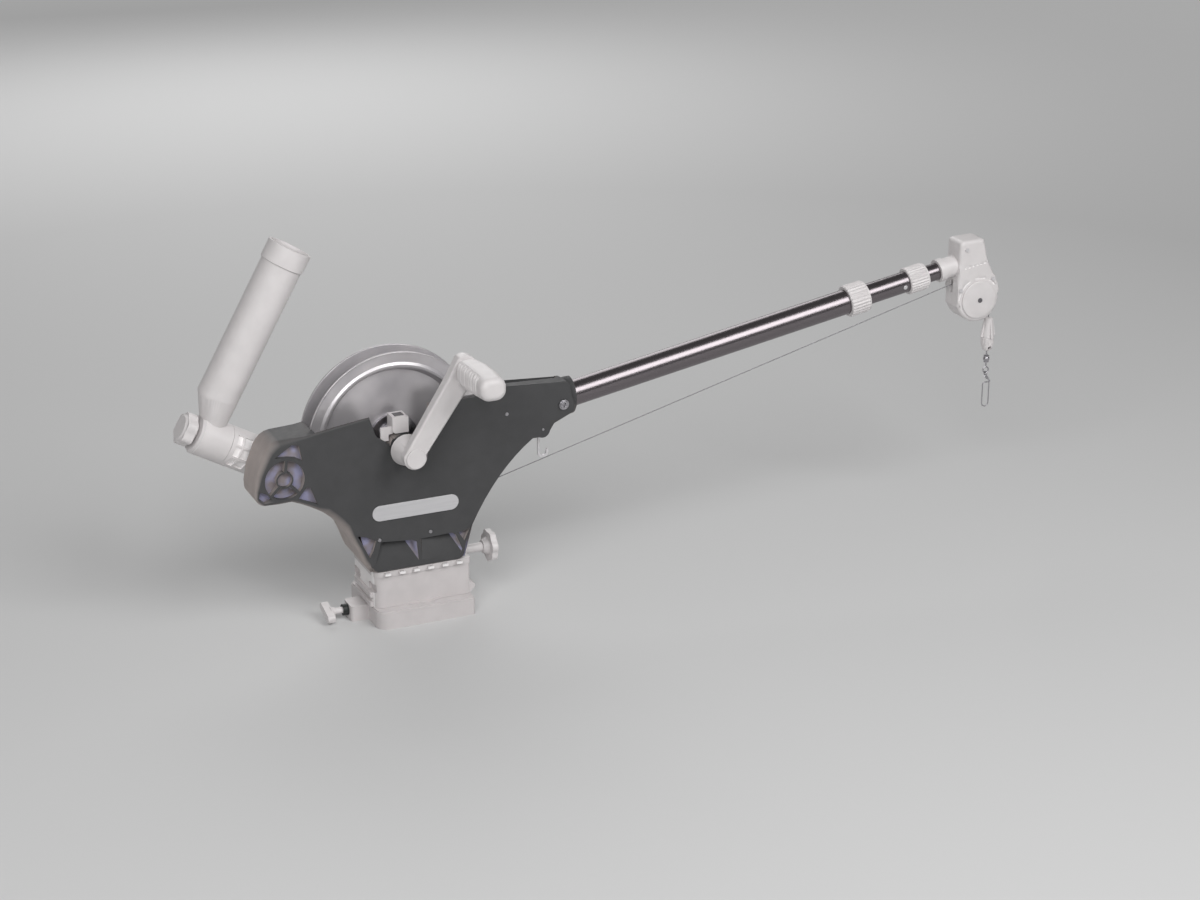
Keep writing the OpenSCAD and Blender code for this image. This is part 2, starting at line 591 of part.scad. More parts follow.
grip_y0 = crank_y - 5.4;
module grip_pin() color(steel) on_axle() translate([grip_x, 0, grip_z]) {
    rod_y(0, 0, grip_pin_r, grip_y0 - grip_l + 9, crank_y + crank_t + 1);
    rod_y(0, 0, 8, grip_y0 - grip_l + 6, grip_y0 - grip_l + 9);
}
module crank_grip() color(pale) on_axle() translate([grip_x, 0, grip_z]) difference() {
    union() {
        // Rounded bar, lofted from rounded sections along its length
        hull() {
            rotate([0, -crank_a, 0]) slab(grip_y0 - 4, grip_y0) rounded(26, 24, 9);
            rotate([0, -crank_a, 0]) slab(grip_y0 - grip_l * 0.6, grip_y0 - grip_l * 0.3) rounded(34, 29, 12);
            rotate([0, -crank_a, 0]) slab(grip_y0 - grip_l + 3, grip_y0 - grip_l + 6) rounded(31, 27, 12);
            rotate([0, -crank_a, 0]) slab(grip_y0 - grip_l, grip_y0 - grip_l + 1) rounded(24, 20, 9);
        }
        // Finger ribs on the lower side
        for (i = [0 : 6]) translate([0, grip_y0 - 7 - i * 6, 0]) rotate([0, -crank_a, 0])
            translate([0, 0, -13]) rotate([0, 90, 0]) cylinder(h = 18, r = 2.4, center = true, $fn = 16);
    }
    rod_y(0, 0, grip_pin_r + run, grip_y0 - grip_l + 8, 20);
    rod_y(0, 0, 8 + clear, grip_y0 - grip_l + 5.7, grip_y0 - grip_l + 9.3);
}

// Depth counter
count_x0 = -33;
count_x1 = -13;
count_y0 = -frame_y + 0.8;
count_y1 = -20.5;
count_z0 = 174;
count_z1 = 194.5;
wheel_r = 7;
wheel_w = 3.6;
count_cx = (count_x0 + count_x1) / 2;
count_cz = count_z0 + 10;
belt_y0 = -19.6;
belt_w = 2.4;
belt_pulley_r = 6;
module counter_case() color(pale) on_foot() difference() {
    union() {
        slab(count_y0, count_y1) polygon([[count_x0, count_z0 + 3], [count_x0 + 3, count_z0], [count_x1, count_z0],
            [count_x1, count_z1 - 1.5], [count_x1 - 2, count_z1], [count_x0, count_z1]]);
        // Foot that screws to the near plate
        translate([count_x0 - 14, -frame_y + frame_t, count_z0 - 1]) cube([15, 2.5, 9]);
        translate([count_x0 - 2, -frame_y + frame_t, count_z0]) cube([4, 10, 6]);
        translate([count_x0 - 14, -frame_y + frame_t, count_z0 - 9]) cube([10, 2.5, 9]);
    }
    rod_y(count_cx, count_cz, wheel_r + 0.6, count_y0 + 2, count_y1 - 2);
    rod_y(count_cx, count_cz, 1.8, count_y0 + 1, 0);
    translate([count_cx - 6, count_y0 + 3, count_cz]) cube([12, count_y1 - count_y0 - 6, 20]);
}
module counter_window() color([0.1, 0.1, 0.1]) on_foot() translate([count_cx - 5.8, count_y0 + 3.2, count_z1 - 1.4])
    cube([11.6, count_y1 - count_y0 - 6.4, 1.2]);
module counter_shaft() color(steel) on_foot() translate([count_cx, 0, count_cz]) {
    rod_y(0, 0, 1.7, count_y0 + 1.4, belt_y0 + belt_w);
    rod_y(0, 0, belt_pulley_r, belt_y0, belt_y0 + belt_w);
}
function wheel_y(i) = count_y0 + 3 + i * (wheel_w + 0.4);
module number_wheel(i) {
    on_foot() difference() {
        rod_y(count_cx, count_cz, wheel_r, wheel_y(i), wheel_y(i) + wheel_w);
        rod_y(count_cx, count_cz, 1.75, -60, 0);
    }
}
module number_wheel_units() color("white") number_wheel(0);
module number_wheel_tens() color("white") number_wheel(1);
module number_wheel_hundreds() color("white") number_wheel(2);
// Round belt from the crank sleeve to the counter
belt_r0 = 10 + clear;
belt_r1 = belt_pulley_r + clear;
belt_d = norm([count_cx - spool_x, count_cz - spool_z]);
belt_a = atan2(count_cz - spool_z, count_cx - spool_x);
function belt_line(g) = let (w = acos((belt_r0 - belt_r1) / belt_d))
    concat(arc([0, 0], belt_r0 + g, w, 360 - w, 24), arc([belt_d, 0], belt_r1 + g, -w, w, 16));
module counter_belt() color([0.1, 0.1, 0.1]) on_axle() rotate([0, -belt_a, 0])
    slab(belt_y0 + 0.3, belt_y0 + belt_w - 0.3) difference() {
        polygon(belt_line(1.8));
        polygon(belt_line(0));
    }

// Boom
tube2_end = tube1_end + tube2_out;
tube3_end = tube2_end + tube3_out;
tube2_root = tube1_end - 470;
tube3_root = tube2_end - 470;
bush_l = 18;
socket_l = 37;
module boom_tube_outer() color(steel) on_boom(tube1_root)
    tube(tube1_r, tube1_r - tube_t, tube1_end - tube1_root, $fn = 64);
module boom_root_plug() color([0.15, 0.15, 0.15]) on_boom(tube1_root - 1.6) {
    cylinder(h = 1.6, r = tube1_r - 0.1);
    translate([0, 0, 1.5]) tube(tube1_r - tube_t - 0.05, tube1_r - tube_t - 2.5, 9);
}
module outer_guide_bush() color([0.2, 0.2, 0.2]) on_boom(tube1_end - bush_l)
    tube(tube1_r - tube_t, tube2_r + run, bush_l);
module boom_tube_middle() color(steel) on_boom(tube2_root)
    tube(tube2_r, tube2_r - tube_t, tube2_end - tube2_root, $fn = 64);
module middle_slide_bush() color([0.2, 0.2, 0.2]) on_boom(tube2_root - 2) {
    tube(tube1_r - tube_t - run, tube2_r - tube_t, 2);
}
module middle_guide_bush() color([0.2, 0.2, 0.2]) on_boom(tube2_end - bush_l)
    tube(tube2_r - tube_t, tube3_r + run, bush_l);
module boom_tube_inner() color(steel) on_boom(tube3_root)
    tube(tube3_r, tube3_r - tube_t, tube3_end - tube3_root, $fn = 64);
module inner_slide_bush() color([0.2, 0.2, 0.2]) on_boom(tube3_root - 2)
    tube(tube2_r - tube_t - run, tube3_r - tube_t, 2);
module ribbed_collar(r, bore, front) {
    difference() {
        union() {
            linear_extrude(collar_l - 2) polygon(lobes(r, 1, 28, 6));
            translate([0, 0, collar_l - 2]) cylinder(h = 2, r = r - 1);
            translate([0, 0, -0.8]) cylinder(h = 1, r = r - 1);
        }
        translate([0, 0, -2]) cylinder(h = collar_l - 4, r = bore);
        cylinder(h = collar_l + 2, r = front);
    }
}
module outer_collar() color(pale) on_boom(tube1_end - collar_l + 6)
    ribbed_collar(tube1_r + 4.6, tube1_r + run, tube2_r + 0.4);
module middle_collar() color(pale) on_boom(tube2_end - collar_l + 6)
    ribbed_collar(tube2_r + 4, tube2_r + run, tube3_r + 0.4);

// Head, measured from the pulley's axle
pulley_z = foot_z + boom_z + pulley_x * tan(boom_tilt) - pulley_drop;
module on_pulley() { translate([pulley_x, 0, pulley_z]) children(); }
head_rear = -31;
head_outline = concat([[head_rear, -8], [head_rear - 0.3, 30]], arc([head_rear + 6.5, 74.5], 6, 178, 90, 4), [[1, 81]],
    [[5.5, 79.5], [9, 65], [12, 52], [22.5, 32], [31.5, 14], [32.3, 7], [head_r - 0.6, 4]]);
head_round = arc([0, 0], head_r, 2, -163, 30);
head_plan = [for (i = [len(head_outline) + len(head_round) - 1 : -1 : 0]) i < len(head_outline) ? head_outline[i]
    : head_round[i - len(head_outline)]];
head_bolts = [[-21, 69], [20.5, 26], [-27.5, 15.5]];
module head_shell() {
    polygon(head_plan);
}
module head_hollow() {
    // Space for the pulley and the ways in and out of the cable
    rod_y(0, 0, pulley_r + 1.7, -6, 6);
    translate([pulley_r - 2, -2.5, -40]) cube([4, 5, 32]);
    translate([-60, -2.5, 9]) cube([46, 5, 18]);
    rod_y(0, 0, 4 + run, -head_y - 1, head_y + 1);
    for (p = head_bolts) rod_y(p[0], p[1], 1.6, -head_y - 1, head_y + 1);
}
module head_socket() {
    on_boom(tube3_end - socket_l) cylinder(h = 8.5, r = tube3_r + 4);
    on_boom(tube3_end - socket_l + 8) cylinder(h = socket_l - 12, r = tube3_r + 2.2);
}
module head_near() color(pale) difference() {
    union() {
        on_pulley() slab(-head_y, -clear / 3) head_shell();
        intersection() {
            head_socket();
            translate([0, -50, 0]) cube([2000, 50 - clear / 3, 900]);
        }
    }
    on_pulley() {
        head_hollow();
        // Raised arc pockets round the cover and a row of small slots above it
        for (a = [[38, 62], [72, 104], [116, 148], [156, 176]]) slab(-head_y - 1, -head_y + 1.4)
            polygon(concat(arc([0, 0], cover_r + 5.4, a[0], a[1], 6), arc([0, 0], cover_r + 3, a[1], a[0], 6)));
        for (i = [0 : 5]) translate([-21 + i * 5.6, -head_y, 44 + i * 0.9]) cube([3.2, 2.4, 2], center = true);
    }
    head_bore();
}
module head_far() color(pale) difference() {
    union() {
        on_pulley() slab(0, head_y) head_shell();
        intersection() {
            head_socket();
            cube([2000, 50, 900]);
        }
    }
    on_pulley() head_hollow();
    head_bore();
}
module head_bore() {
    on_boom(tube3_end - 60) cylinder(h = 60 + 6.4, r = tube3_r + run);
}
module head_retainer() color([0.15, 0.15, 0.15]) on_boom(tube3_end - 8) {
    cylinder(h = 8, r = tube3_r - tube_t - 0.05);
    translate([0, 0, 8]) cylinder(h = 2.5, r = tube3_r - 0.2);
}
module head_cover() color(pale) on_pulley() difference() {
    translate([0, -head_y, 0]) rotate([90, 0, 0]) rotate_extrude($fn = 72)
        polygon([[0, 0], [cover_r, 0], [cover_r, 1.6], [cover_r - 1.6, 2.6], [cover_r * 0.6, 3.3], [0, 3.6]]);
    rod_y(0, 0, 2.2, -60, 0);
}
module head_screws() color(steel) on_pulley() {
    difference() {
        union() {
            rod_y(0, 0, 3.1, -head_y - 4.6, -head_y - 3.6);
            rod_y(0, 0, 2.1, -head_y - 3.7, -head_y - 0.5);
        }
        for (a = [10, 100]) translate([0, -head_y - 4.6, 0]) rotate([0, a, 0]) cube([4, 1, 1], center = true);
    }
    for (p = head_bolts) {
        rod_y(p[0], p[1], 1.5, -head_y, head_y + 0.4);
        rod_y(p[0], p[1], 2.8, head_y, head_y + 1.6);
        rod_y(p[0], p[1], 2.6, -head_y - 1.4, -head_y);
    }
}
module pulley() color([0.3, 0.3, 0.3]) on_pulley() rotate([90, 0, 0]) rotate_extrude($fn = 72)
    polygon([[4 + run, -5.4], [14, -5.4], [17, -3], [pulley_r - 8, -3], [pulley_r - 5, -4.4], [pulley_r + 1.2, -4.4],
        [pulley_r + 1.2, -3.2], [pulley_r - 0.7, -0.8], [pulley_r - 0.7, 0.8], [pulley_r + 1.2, 3.2],
        [pulley_r + 1.2, 4.4], [pulley_r - 5, 4.4], [pulley_r - 8, 3], [17, 3], [14, 5.4], [4 + run, 5.4]]);
module pulley_axle() color(steel) on_pulley() difference() {
    rod_y(0, 0, 4, -head_y, head_y);
    rod_y(0, 0, 2.15, -head_y - 1, -head_y + 4);
}

// Cable: from the winding under the guide bar to the pulley, then down to the terminator
guide_pt = [guide_spot[0] + 0.5, guide_spot[1] - guide_r - cable_r - 0.02];
pulley_pt = [pulley_x, pulley_z - foot_z];
function tangent(c, r, p, side) = let (v = p - c, d = norm(v), a = atan2(v[1], v[0]) + side * acos(r / d))
    c + r * [cos(a), sin(a)];
wind_pt = tangent([spool_x, spool_z], wound_r, guide_pt, -1);
over_pt = tangent(pulley_pt, pulley_r, guide_pt, -1);
function along(t) = guide_pt + (over_pt - guide_pt) * t;
module wire(p, q) {
    v = q - p;
    on_foot() translate([p[0], 0, p[1]]) rotate([0, 90 - atan2(v[1], v[0]), 0])
        cylinder(h = norm(v), r = cable_r, $fn = 16);
}
// The lower piece starts a little way off the winding
lead = unit(guide_pt - wind_pt) * 17;
module cable_lower() color([0.6, 0.6, 0.6]) {
    wire(wind_pt + lead, guide_pt);
    on_foot() translate([guide_pt[0], 0, guide_pt[1]]) sphere(cable_r + 0.05, $fn = 16);
    wire(guide_pt, along(0.5));
}
module cable_middle() color([0.6, 0.6, 0.6]) wire(along(0.5), along(0.9));
module cable_upper() color([0.6, 0.6, 0.6]) wire(along(0.9), over_pt);
over_a = atan2((over_pt - pulley_pt)[1], (over_pt - pulley_pt)[0]);
term_x = pulley_x + pulley_r;
term_z = pulley_z - 32.7;
module cable_drop() color([0.6, 0.6, 0.6]) {
    translate([term_x, 0, term_z + clear]) cylinder(h = pulley_z - term_z - clear, r = cable_r, $fn = 16);
    on_pulley() rotate([90, 0, 0]) rotate_extrude(angle = over_a, $fn = 96) translate([pulley_r, 0])
        circle(cable_r, $fn = 16);
}

// Terminator with swivel and snap
module on_term() { translate([term_x, 0, term_z]) children(); }
module terminator() color(pale) on_term() difference() {
    union() {
        rotate_extrude() polygon([[0, 0], [4.6, 0], [5.8, -1], [8, -26], [7.6, -26], [7.6, -37], [7.4, -38],
            [7.1, -41], [5.6, -44], [3, -45.4], [0, -45.7]]);
        // Two crossed fins and a crown of ribs
        for (a = [0, 90]) rotate([0, 0, a]) translate([0, 1, 0]) rotate([90, 0, 0]) linear_extrude(2)
            polygon([[-10.6, -26.2], [10.6, -26.2], [10.6, -24], [6.2, -3], [-6.2, -3], [-10.6, -24]]);
        for (a = [15 : 30 : 345]) rotate([0, 0, a]) translate([7.4, 0, -31]) cube([1.8, 1.8, 9], center = true);
    }
    translate([0, 0, -47]) cylinder(h = 12.5, r = 1.5);
    translate([0, 0, -40.6]) rotate([90, 0, 0]) cylinder(h = 20, r = 2.6, center = true);
    translate([0, 0, -10]) cylinder(h = 11, r = cable_r + 0.15);
}
barrel_z = -57;
module terminator_swivel() color(steel) on_term() {
    translate([0, 0, -46]) cylinder(h = 7, r = 0.9);
    translate([0, 0, -40.6]) sphere(2.1);
    translate([0, 0, barrel_z + 4.5]) cylinder(h = 8, r = 0.9);
    translate([0, 0, barrel_z]) sphere(4.3);
    translate([0, 0, barrel_z - 4.6]) cylinder(h = 9.2, r = 3.4);
    translate([0, 0, barrel_z - 12]) cylinder(h = 9, r = 0.9);
    translate([0, 0, barrel_z - 15.6]) rotate([90, 0, 0]) rotate_extrude() translate([4, 0]) circle(0.8, $fn = 16);
}
// Wire snap hanging in the swivel's loop
snap_r = 0.75;
snap_x = 1.5;
snap_top = barrel_z - 20.7;
snap_w = 4.9;
module bar(p, q) {
    v = q - p;
    translate(p) rotate([0, 90 - atan2(v[2], v[0]), 0]) cylinder(h = norm(v), r = snap_r, $fn = 16);
}
module bend_wire(c, r, a0, a1) translate(c) rotate([90, 0, 0]) rotate([0, 0, a0])
    rotate_extrude(angle = a1 - a0, $fn = 48) translate([r, 0]) circle(snap_r, $fn = 16);
module terminator_snap() color(steel) on_term() {
    translate([0, 0, snap_top]) rotate([90, 0, 90]) rotate_extrude($fn = 48) translate([3, 0]) circle(snap_r, $fn = 16);
    translate([1.6, 0, snap_top - 5]) rotate([0, -40, 0]) cylinder(h = 6, r = 1.7, center = true);
    bar([snap_x + snap_w, 0, -118.5], [snap_x + snap_w, 0, -88]);
    bar([snap_x - snap_w, 0, -118.5], [snap_x - snap_w, 0, -93]);
    bend_wire([snap_x, 0, -118.5], snap_w, 180, 360);
    bend_wire([snap_x - snap_w + 3, 0, -93], 3, 90, 180);
    bar([snap_x - snap_w + 3, 0, -90], [snap_x + snap_w + 1.2, 0, -90]);
    translate([snap_x + snap_w, 0, -88]) sphere(1.5);
    bar([snap_x + snap_w, 0, -88], [2.4, 0, snap_top - 6]);
}

// Storage hook, hanging in the slot of the near half
hook_y = -21;
hook_pivot = [159.5, 145.4];
hook_r = 5.6;
hook_drop = 31;
module storage_hook() color([0.5, 0.5, 0.55]) on_foot() translate([hook_pivot[0], hook_y, hook_pivot[1]]) {
    rotate([90, 0, 0]) cylinder(h = 4.4, r = 3.4, center = true);
    rod_y(0, 0, 1.8, -frame_y + 6.3 - hook_y, 8.7);
    translate([-1.4, -1.1, -hook_drop]) cube([2.8, 2.2, hook_drop]);
    translate([hook_r, 0, -hook_drop]) rotate([90, 0, 0]) rotate([0, 0, 179]) rotate_extrude(angle = 215, $fn = 48)
        translate([hook_r, 0]) square([3.2, 2.6], center = true);
}

// Rod holder, measured from the recess centre along the arm
module on_arm(t) {
    on_foot() translate([lobe_x, arm_y, lobe_z]) rotate([0, -90 + arm_tilt, 0]) translate([0, 0, t]) children();
}
spigot_r = 19;
pocket_a = [-33, 3, 38];
module rod_stub() color(pale) {
    difference() {
        union() {
            on_arm(-14) cylinder(h = sleeve_t + 13.6, r = arm_r);
            on_arm(sleeve_t - 1) cylinder(h = sleeve_l + 0.8, r = spigot_r);
            on_foot() rod_y(lobe_x, lobe_z, 27, lobe_y + clear / 3, lobe_y + 9);
        }
        on_arm(sleeve_t - 12) cylinder(h = 60, r = 4.3);
        on_arm(0) for (a = pocket_a) rotate([0, 0, a]) {
            translate([0, -arm_r, sleeve_t - 21]) cube([12, 6, 10.5], center = true);
            translate([0, -arm_r, sleeve_t - 9.6]) cube([12, 6, 7.4], center = true);
        }
        on_foot() slab(lobe_y + 14, lobe_y + 60) polygon([[-136, 60], [-136, 200], [-100, 200], [-100, 60]]);
        on_axle() rod_y(0, 0, spool_r + 2.4, -40, spool_y1 + 2);
    }
}
module rod_holder() color(pale) difference() {
    union() {
        on_arm(sleeve_t) cylinder(h = sleeve_l, r = arm_r);
        on_arm(sleeve_t + sleeve_l) cylinder(h = 3, r1 = arm_r, r2 = arm_r - 3);
        // Tube cut by a slanted cone at its lower end
        intersection() {
            on_rod(10) cylinder(h = rod_l - 10, r = rod_r);
            on_rod(-39.5) translate([rod_r + 0.3, 0, 0]) rotate([0, -taper_a, 0])
                cylinder(h = 400, r1 = 0, r2 = 400 * tan(taper_a));
        }
        on_rod(rod_l - 17.5) cylinder(h = 17.5, r = rod_r + 0.9);
        on_rod(rod_l - 3) cylinder(h = 3, r = rod_r + 1.7);
    }
    on_rod(rod_floor) cylinder(h = rod_l, r = rod_r - rod_t);
    // Room for the knob beside the tube's lower end
    on_arm(sleeve_t + sleeve_l + 3) cylinder(h = 40, r = 21.6);
    on_rod(rod_l - 4) cylinder(h = 5, r1 = rod_r - rod_t, r2 = rod_r - rod_t + 1.4);
    on_arm(sleeve_t - 1) cylinder(h = sleeve_l + 1, r = spigot_r + run);
    on_arm(sleeve_t) cylinder(h = sleeve_l + 10, r = 4.3);
}
rod_t0 = sleeve_t + 33.3;
taper_a = 14.75;
rod_floor = 50;
module on_rod(s) { on_arm(rod_t0) rotate([0, 90, 0]) translate([0, 0, s]) children(); }
module rod_clamp_knob() color(pale) on_arm(sleeve_t + sleeve_l) {
    translate([0, 0, -30]) cylinder(h = 36, r = 4);
    translate([0, 0, 3.3]) cylinder(h = 4, r = 12);
    translate([0, 0, 7]) linear_extrude(13) polygon(lobes(20, 2.6, 6, 12));
    translate([0, 0, 20]) cylinder(h = 2, r1 = 16.5, r2 = 14);
}

base_plate();
lock_pin();
lock_pin_collar();
lock_pin_spring();
swivel_block();
pivot_bolt();
swivel_knob();
frame_near();
frame_far();
frame_bolts();
badge();
boom_clamp_screw();
line_guide_bar();
spool_axle();
axle_nut();
near_bushing();
spool();
spool_hub();
cable_winding();
ratchet_pawl();
crank_sleeve();
crank_arm();
crank_cap();
grip_pin();
crank_grip();
counter_case();
counter_window();
counter_shaft();
number_wheel_units();
number_wheel_tens();
number_wheel_hundreds();
counter_belt();
boom_tube_outer();
boom_root_plug();
outer_guide_bush();
boom_tube_middle();
middle_slide_bush();
middle_guide_bush();
boom_tube_inner();
inner_slide_bush();
outer_collar();
middle_collar();
head_near();
head_far();
head_cover();
head_screws();
head_retainer();
pulley();
pulley_axle();
cable_lower();
cable_middle();
cable_upper();
cable_drop();
terminator();
terminator_swivel();
terminator_snap();
storage_hook();
rod_stub();
rod_holder();
rod_clamp_knob();
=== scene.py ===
import json
import math

import bmesh
import bpy
from mathutils import Matrix, Vector
from mathutils.bvhtree import BVHTree
from mathutils.geometry import intersect_point_line


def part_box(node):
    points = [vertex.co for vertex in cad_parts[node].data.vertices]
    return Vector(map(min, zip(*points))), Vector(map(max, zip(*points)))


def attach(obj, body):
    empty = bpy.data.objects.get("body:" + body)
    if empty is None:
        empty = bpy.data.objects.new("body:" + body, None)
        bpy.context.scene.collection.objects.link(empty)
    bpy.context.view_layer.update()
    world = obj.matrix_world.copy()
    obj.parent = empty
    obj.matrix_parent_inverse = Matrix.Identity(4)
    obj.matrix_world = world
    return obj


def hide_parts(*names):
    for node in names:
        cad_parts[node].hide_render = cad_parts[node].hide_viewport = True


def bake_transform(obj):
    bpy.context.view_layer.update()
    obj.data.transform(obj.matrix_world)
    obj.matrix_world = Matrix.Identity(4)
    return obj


# The downrigger's looks, built round the CAD nodes of its frame
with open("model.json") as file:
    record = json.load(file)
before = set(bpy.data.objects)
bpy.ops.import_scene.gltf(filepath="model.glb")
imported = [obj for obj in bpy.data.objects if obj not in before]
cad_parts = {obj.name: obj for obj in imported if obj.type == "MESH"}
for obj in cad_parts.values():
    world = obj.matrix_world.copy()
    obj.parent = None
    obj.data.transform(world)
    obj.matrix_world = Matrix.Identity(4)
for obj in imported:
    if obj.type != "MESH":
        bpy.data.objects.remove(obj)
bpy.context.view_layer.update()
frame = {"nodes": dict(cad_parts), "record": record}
nodes = frame["nodes"]
record = frame["record"]
BODY = {n: body for body, names in record["behaviour"]["bodies"].items() for n in names}
SLOT = {s["node"]: s["material_slot"] for s in record["subparts"]}
MM = 0.001  # the frame is in metres, and sizes in millimetres are multiplied by this

# Camera at the photograph's angle
AZIMUTH, ELEVATION, DISTANCE = -24.05, 21.19, 3.253
SENSOR, LENS = 36, 78.83  # millimetres
TARGET = Vector((0.25079, 0, 0.16548))
az, el = math.radians(AZIMUTH), math.radians(ELEVATION)
toward = Vector((math.sin(az) * math.cos(el), -math.cos(az) * math.cos(el), math.sin(el)))
camera_data = bpy.data.cameras.new("camera")
camera_data.sensor_width = SENSOR
camera_data.lens = LENS
camera_data.clip_end = 100
camera = bpy.data.objects.new("camera", camera_data)
bpy.context.scene.collection.objects.link(camera)
camera.location = TARGET + DISTANCE * toward
camera.rotation_euler = (-toward).to_track_quat("-Z", "Y").to_euler()
bpy.context.scene.camera = camera
bpy.context.scene.view_settings.view_transform = "Standard"


# Places read from the frame
def middle(node):
    low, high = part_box(node)
    return (low + high) / 2


def half(node, axis):
    low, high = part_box(node)
    return (high - low)[axis] / 2


FRAME_Y = -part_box("frame_near")[0].y
FOOT_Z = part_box("frame_near")[0].z
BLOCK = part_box("swivel_block")
AXLE = middle("spool")
PULLEY = middle("pulley")
BOOM_TILT = math.radians(10.1)
BOOM_DIR = Vector((math.cos(BOOM_TILT), 0, math.sin(BOOM_TILT)))
BOOM_UP = Vector((-math.sin(BOOM_TILT), 0, math.cos(BOOM_TILT)))
BOOM_Z = middle("boom_tube_outer").z - middle("boom_tube_outer").x * math.tan(BOOM_TILT)
BOOM_START = Vector((0, 0, BOOM_Z))  # where the boom's line passes over the origin


# Materials
GRAIN_SCALE, GRAIN_DEPTH, LINE_DEPTH = 1600, 0.0001, 0.00005


def srgb(r, g, b):
    """Colour written as 0-255 screen values, turned into linear light."""
    def linear(c):
        c /= 255
        return c / 12.92 if c <= 0.04045 else ((c + 0.055) / 1.055) ** 2.4
    return (linear(r), linear(g), linear(b), 1.0)


def scaled(colour, k):
    """Lighter or darker colour."""
    return tuple(min(1.0, c * k) for c in colour[:3]) + (1.0,)


class Paint:
    """A Principled material under construction, with the node helpers that its looks need."""

    def __init__(self, name, colour, rough, metal=0.0, coat=0.0, specular=0.5):
        self.mat = bpy.data.materials.new(name)
        self.mat.use_nodes = True
        self.nt = self.mat.node_tree
        self.shader = self.nt.nodes["Principled BSDF"]
        self.colour = colour
        for key, value in (("Base Color", colour), ("Roughness", rough), ("Metallic", metal),
                           ("Coat Weight", coat), ("Coat Roughness", 0.1), ("Specular IOR Level", specular)):
            self.shader.inputs[key].default_value = value

    def coords(self, stretch=(1, 1, 1), kind="Object", turn=(0, 0, 0), origin=(0, 0, 0)):
        """Coordinates from an origin, stretched and then turned."""
        source = self.nt.nodes.new("ShaderNodeTexCoord")
        back = self.nt.nodes.new("ShaderNodeMapping")
        back.inputs["Location"].default_value = tuple(-c for c in origin)
        self.nt.links.new(source.outputs[kind], back.inputs["Vector"])
        mapping = self.nt.nodes.new("ShaderNodeMapping")
        mapping.inputs["Scale"].default_value = stretch
        mapping.inputs["Rotation"].default_value = turn
        self.nt.links.new(back.outputs["Vector"], mapping.inputs["Vector"])
        return mapping.outputs["Vector"]

    def noise(self, scale, detail, vector=None):
        tex = self.nt.nodes.new("ShaderNodeTexNoise")
        tex.inputs["Scale"].default_value = scale
        tex.inputs["Detail"].default_value = detail
        self.nt.links.new(vector or self.coords(), tex.inputs["Vector"])
        return tex.outputs["Fac"]

    def ramp(self, source, stops):
        """Colours or grey levels at places between 0 and 1."""
        node = self.nt.nodes.new("ShaderNodeValToRGB")
        elements = node.color_ramp.elements
        while len(elements) < len(stops):
            elements.new(0.5)
        for element, (place, colour) in zip(elements, stops):
            element.position = place
            element.color = colour if hasattr(colour, "__len__") else (colour,) * 3 + (1.0,)
        self.nt.links.new(source, node.inputs["Fac"])
        return node.outputs["Color"]

    def mix(self, factor, a, b):
        """Mix of two colours, whose sockets on the node are 6 and 7."""
        node = self.nt.nodes.new("ShaderNodeMix")
        node.data_type = "RGBA"
        for key, value in ((0, factor), (6, a), (7, b)):
            if hasattr(value, "__len__") or isinstance(value, (int, float)):
                node.inputs[key].default_value = value
            else:
                self.nt.links.new(value, node.inputs[key])
        return node.outputs[2]

    def math(self, kind, a, b=0.0, clamp=False):
        node = self.nt.nodes.new("ShaderNodeMath")
        node.operation = kind
        node.use_clamp = clamp
        for i, value in enumerate((a, b)):
            if isinstance(value, (int, float)):
                node.inputs[i].default_value = value
            else:
                self.nt.links.new(value, node.inputs[i])
        return node.outputs[0]

    def axis(self, vector, index):
        node = self.nt.nodes.new("ShaderNodeSeparateXYZ")
        self.nt.links.new(vector, node.inputs[0])
        return node.outputs[index]

    def set(self, key, output):
        self.nt.links.new(output, self.shader.inputs[key])
        return self

    def mottle(self, spread, scale=60.0, vector=None, colour=None):
        """Colour that varies a little over the surface."""
        field = self.noise(scale, 3.0, vector)
        base = colour or self.colour
        return self.ramp(field, [(0.35, scaled(base, 1 - spread)), (0.65, scaled(base, 1 + spread))])

    def uneven(self, rough, spread=0.05, scale=140.0, vector=None):
        """Roughness that varies a little over the surface."""
        field = self.noise(scale, 4.0, vector)
        return self.set("Roughness", self.ramp(field, [(0.3, rough - spread), (0.7, rough + spread)]))

    def bump(self, height, strength, distance):
        node = self.nt.nodes.new("ShaderNodeBump")
        node.inputs["Strength"].default_value = strength
        node.inputs["Distance"].default_value = distance
        self.nt.links.new(height, node.inputs["Height"])
        return self.set("Normal", node.outputs["Normal"])


def moulded(name, colour, rough, grain=0.12, specular=0.5):
    """Moulded plastic with a fine grained skin."""
    p = Paint(name, colour, rough, specular=specular)
    p.set("Base Color", p.mottle(0.025))
    p.uneven(rough)
    p.bump(p.noise(GRAIN_SCALE, 2.0), grain, GRAIN_DEPTH)
    return p


def drawn(name, colour, rough, direction=(1, 1, 1), spread=0.05, metal=1.0, turn=(0, 0, 0),
          scale=400.0, lines=0.06):
    """Metal with fine lines along the way it was drawn or brushed."""
    p = Paint(name, colour, rough, metal)
    along = p.coords(direction, turn=turn)
    p.set("Base Color", p.mottle(spread, scale, along))
    p.uneven(rough, lines, scale * 1.5, along)
    p.bump(p.noise(scale * 2, 2.0, along), lines, LINE_DEPTH)
    return p


PALE = srgb(216, 212, 212)
CHARCOAL = srgb(73, 73, 74)
# Painted light: the lighter, warmer grey painted on the charcoal skin's rear and under sides
SIDE_PAINTED_LIGHT = srgb(182, 172, 168)
# Painted shade: lavender and brown standing for the shade on the floors of the frame's recesses
RECESS_SHADE_LAVENDER = srgb(150, 149, 176)
RECESS_SHADE_BROWN = srgb(137, 129, 131)
REAR_PAINTED_LIGHT, UNDER_PAINTED_LIGHT = 0.75, 0.3  # how far the skin's rear and under sides go to the painted light's colour
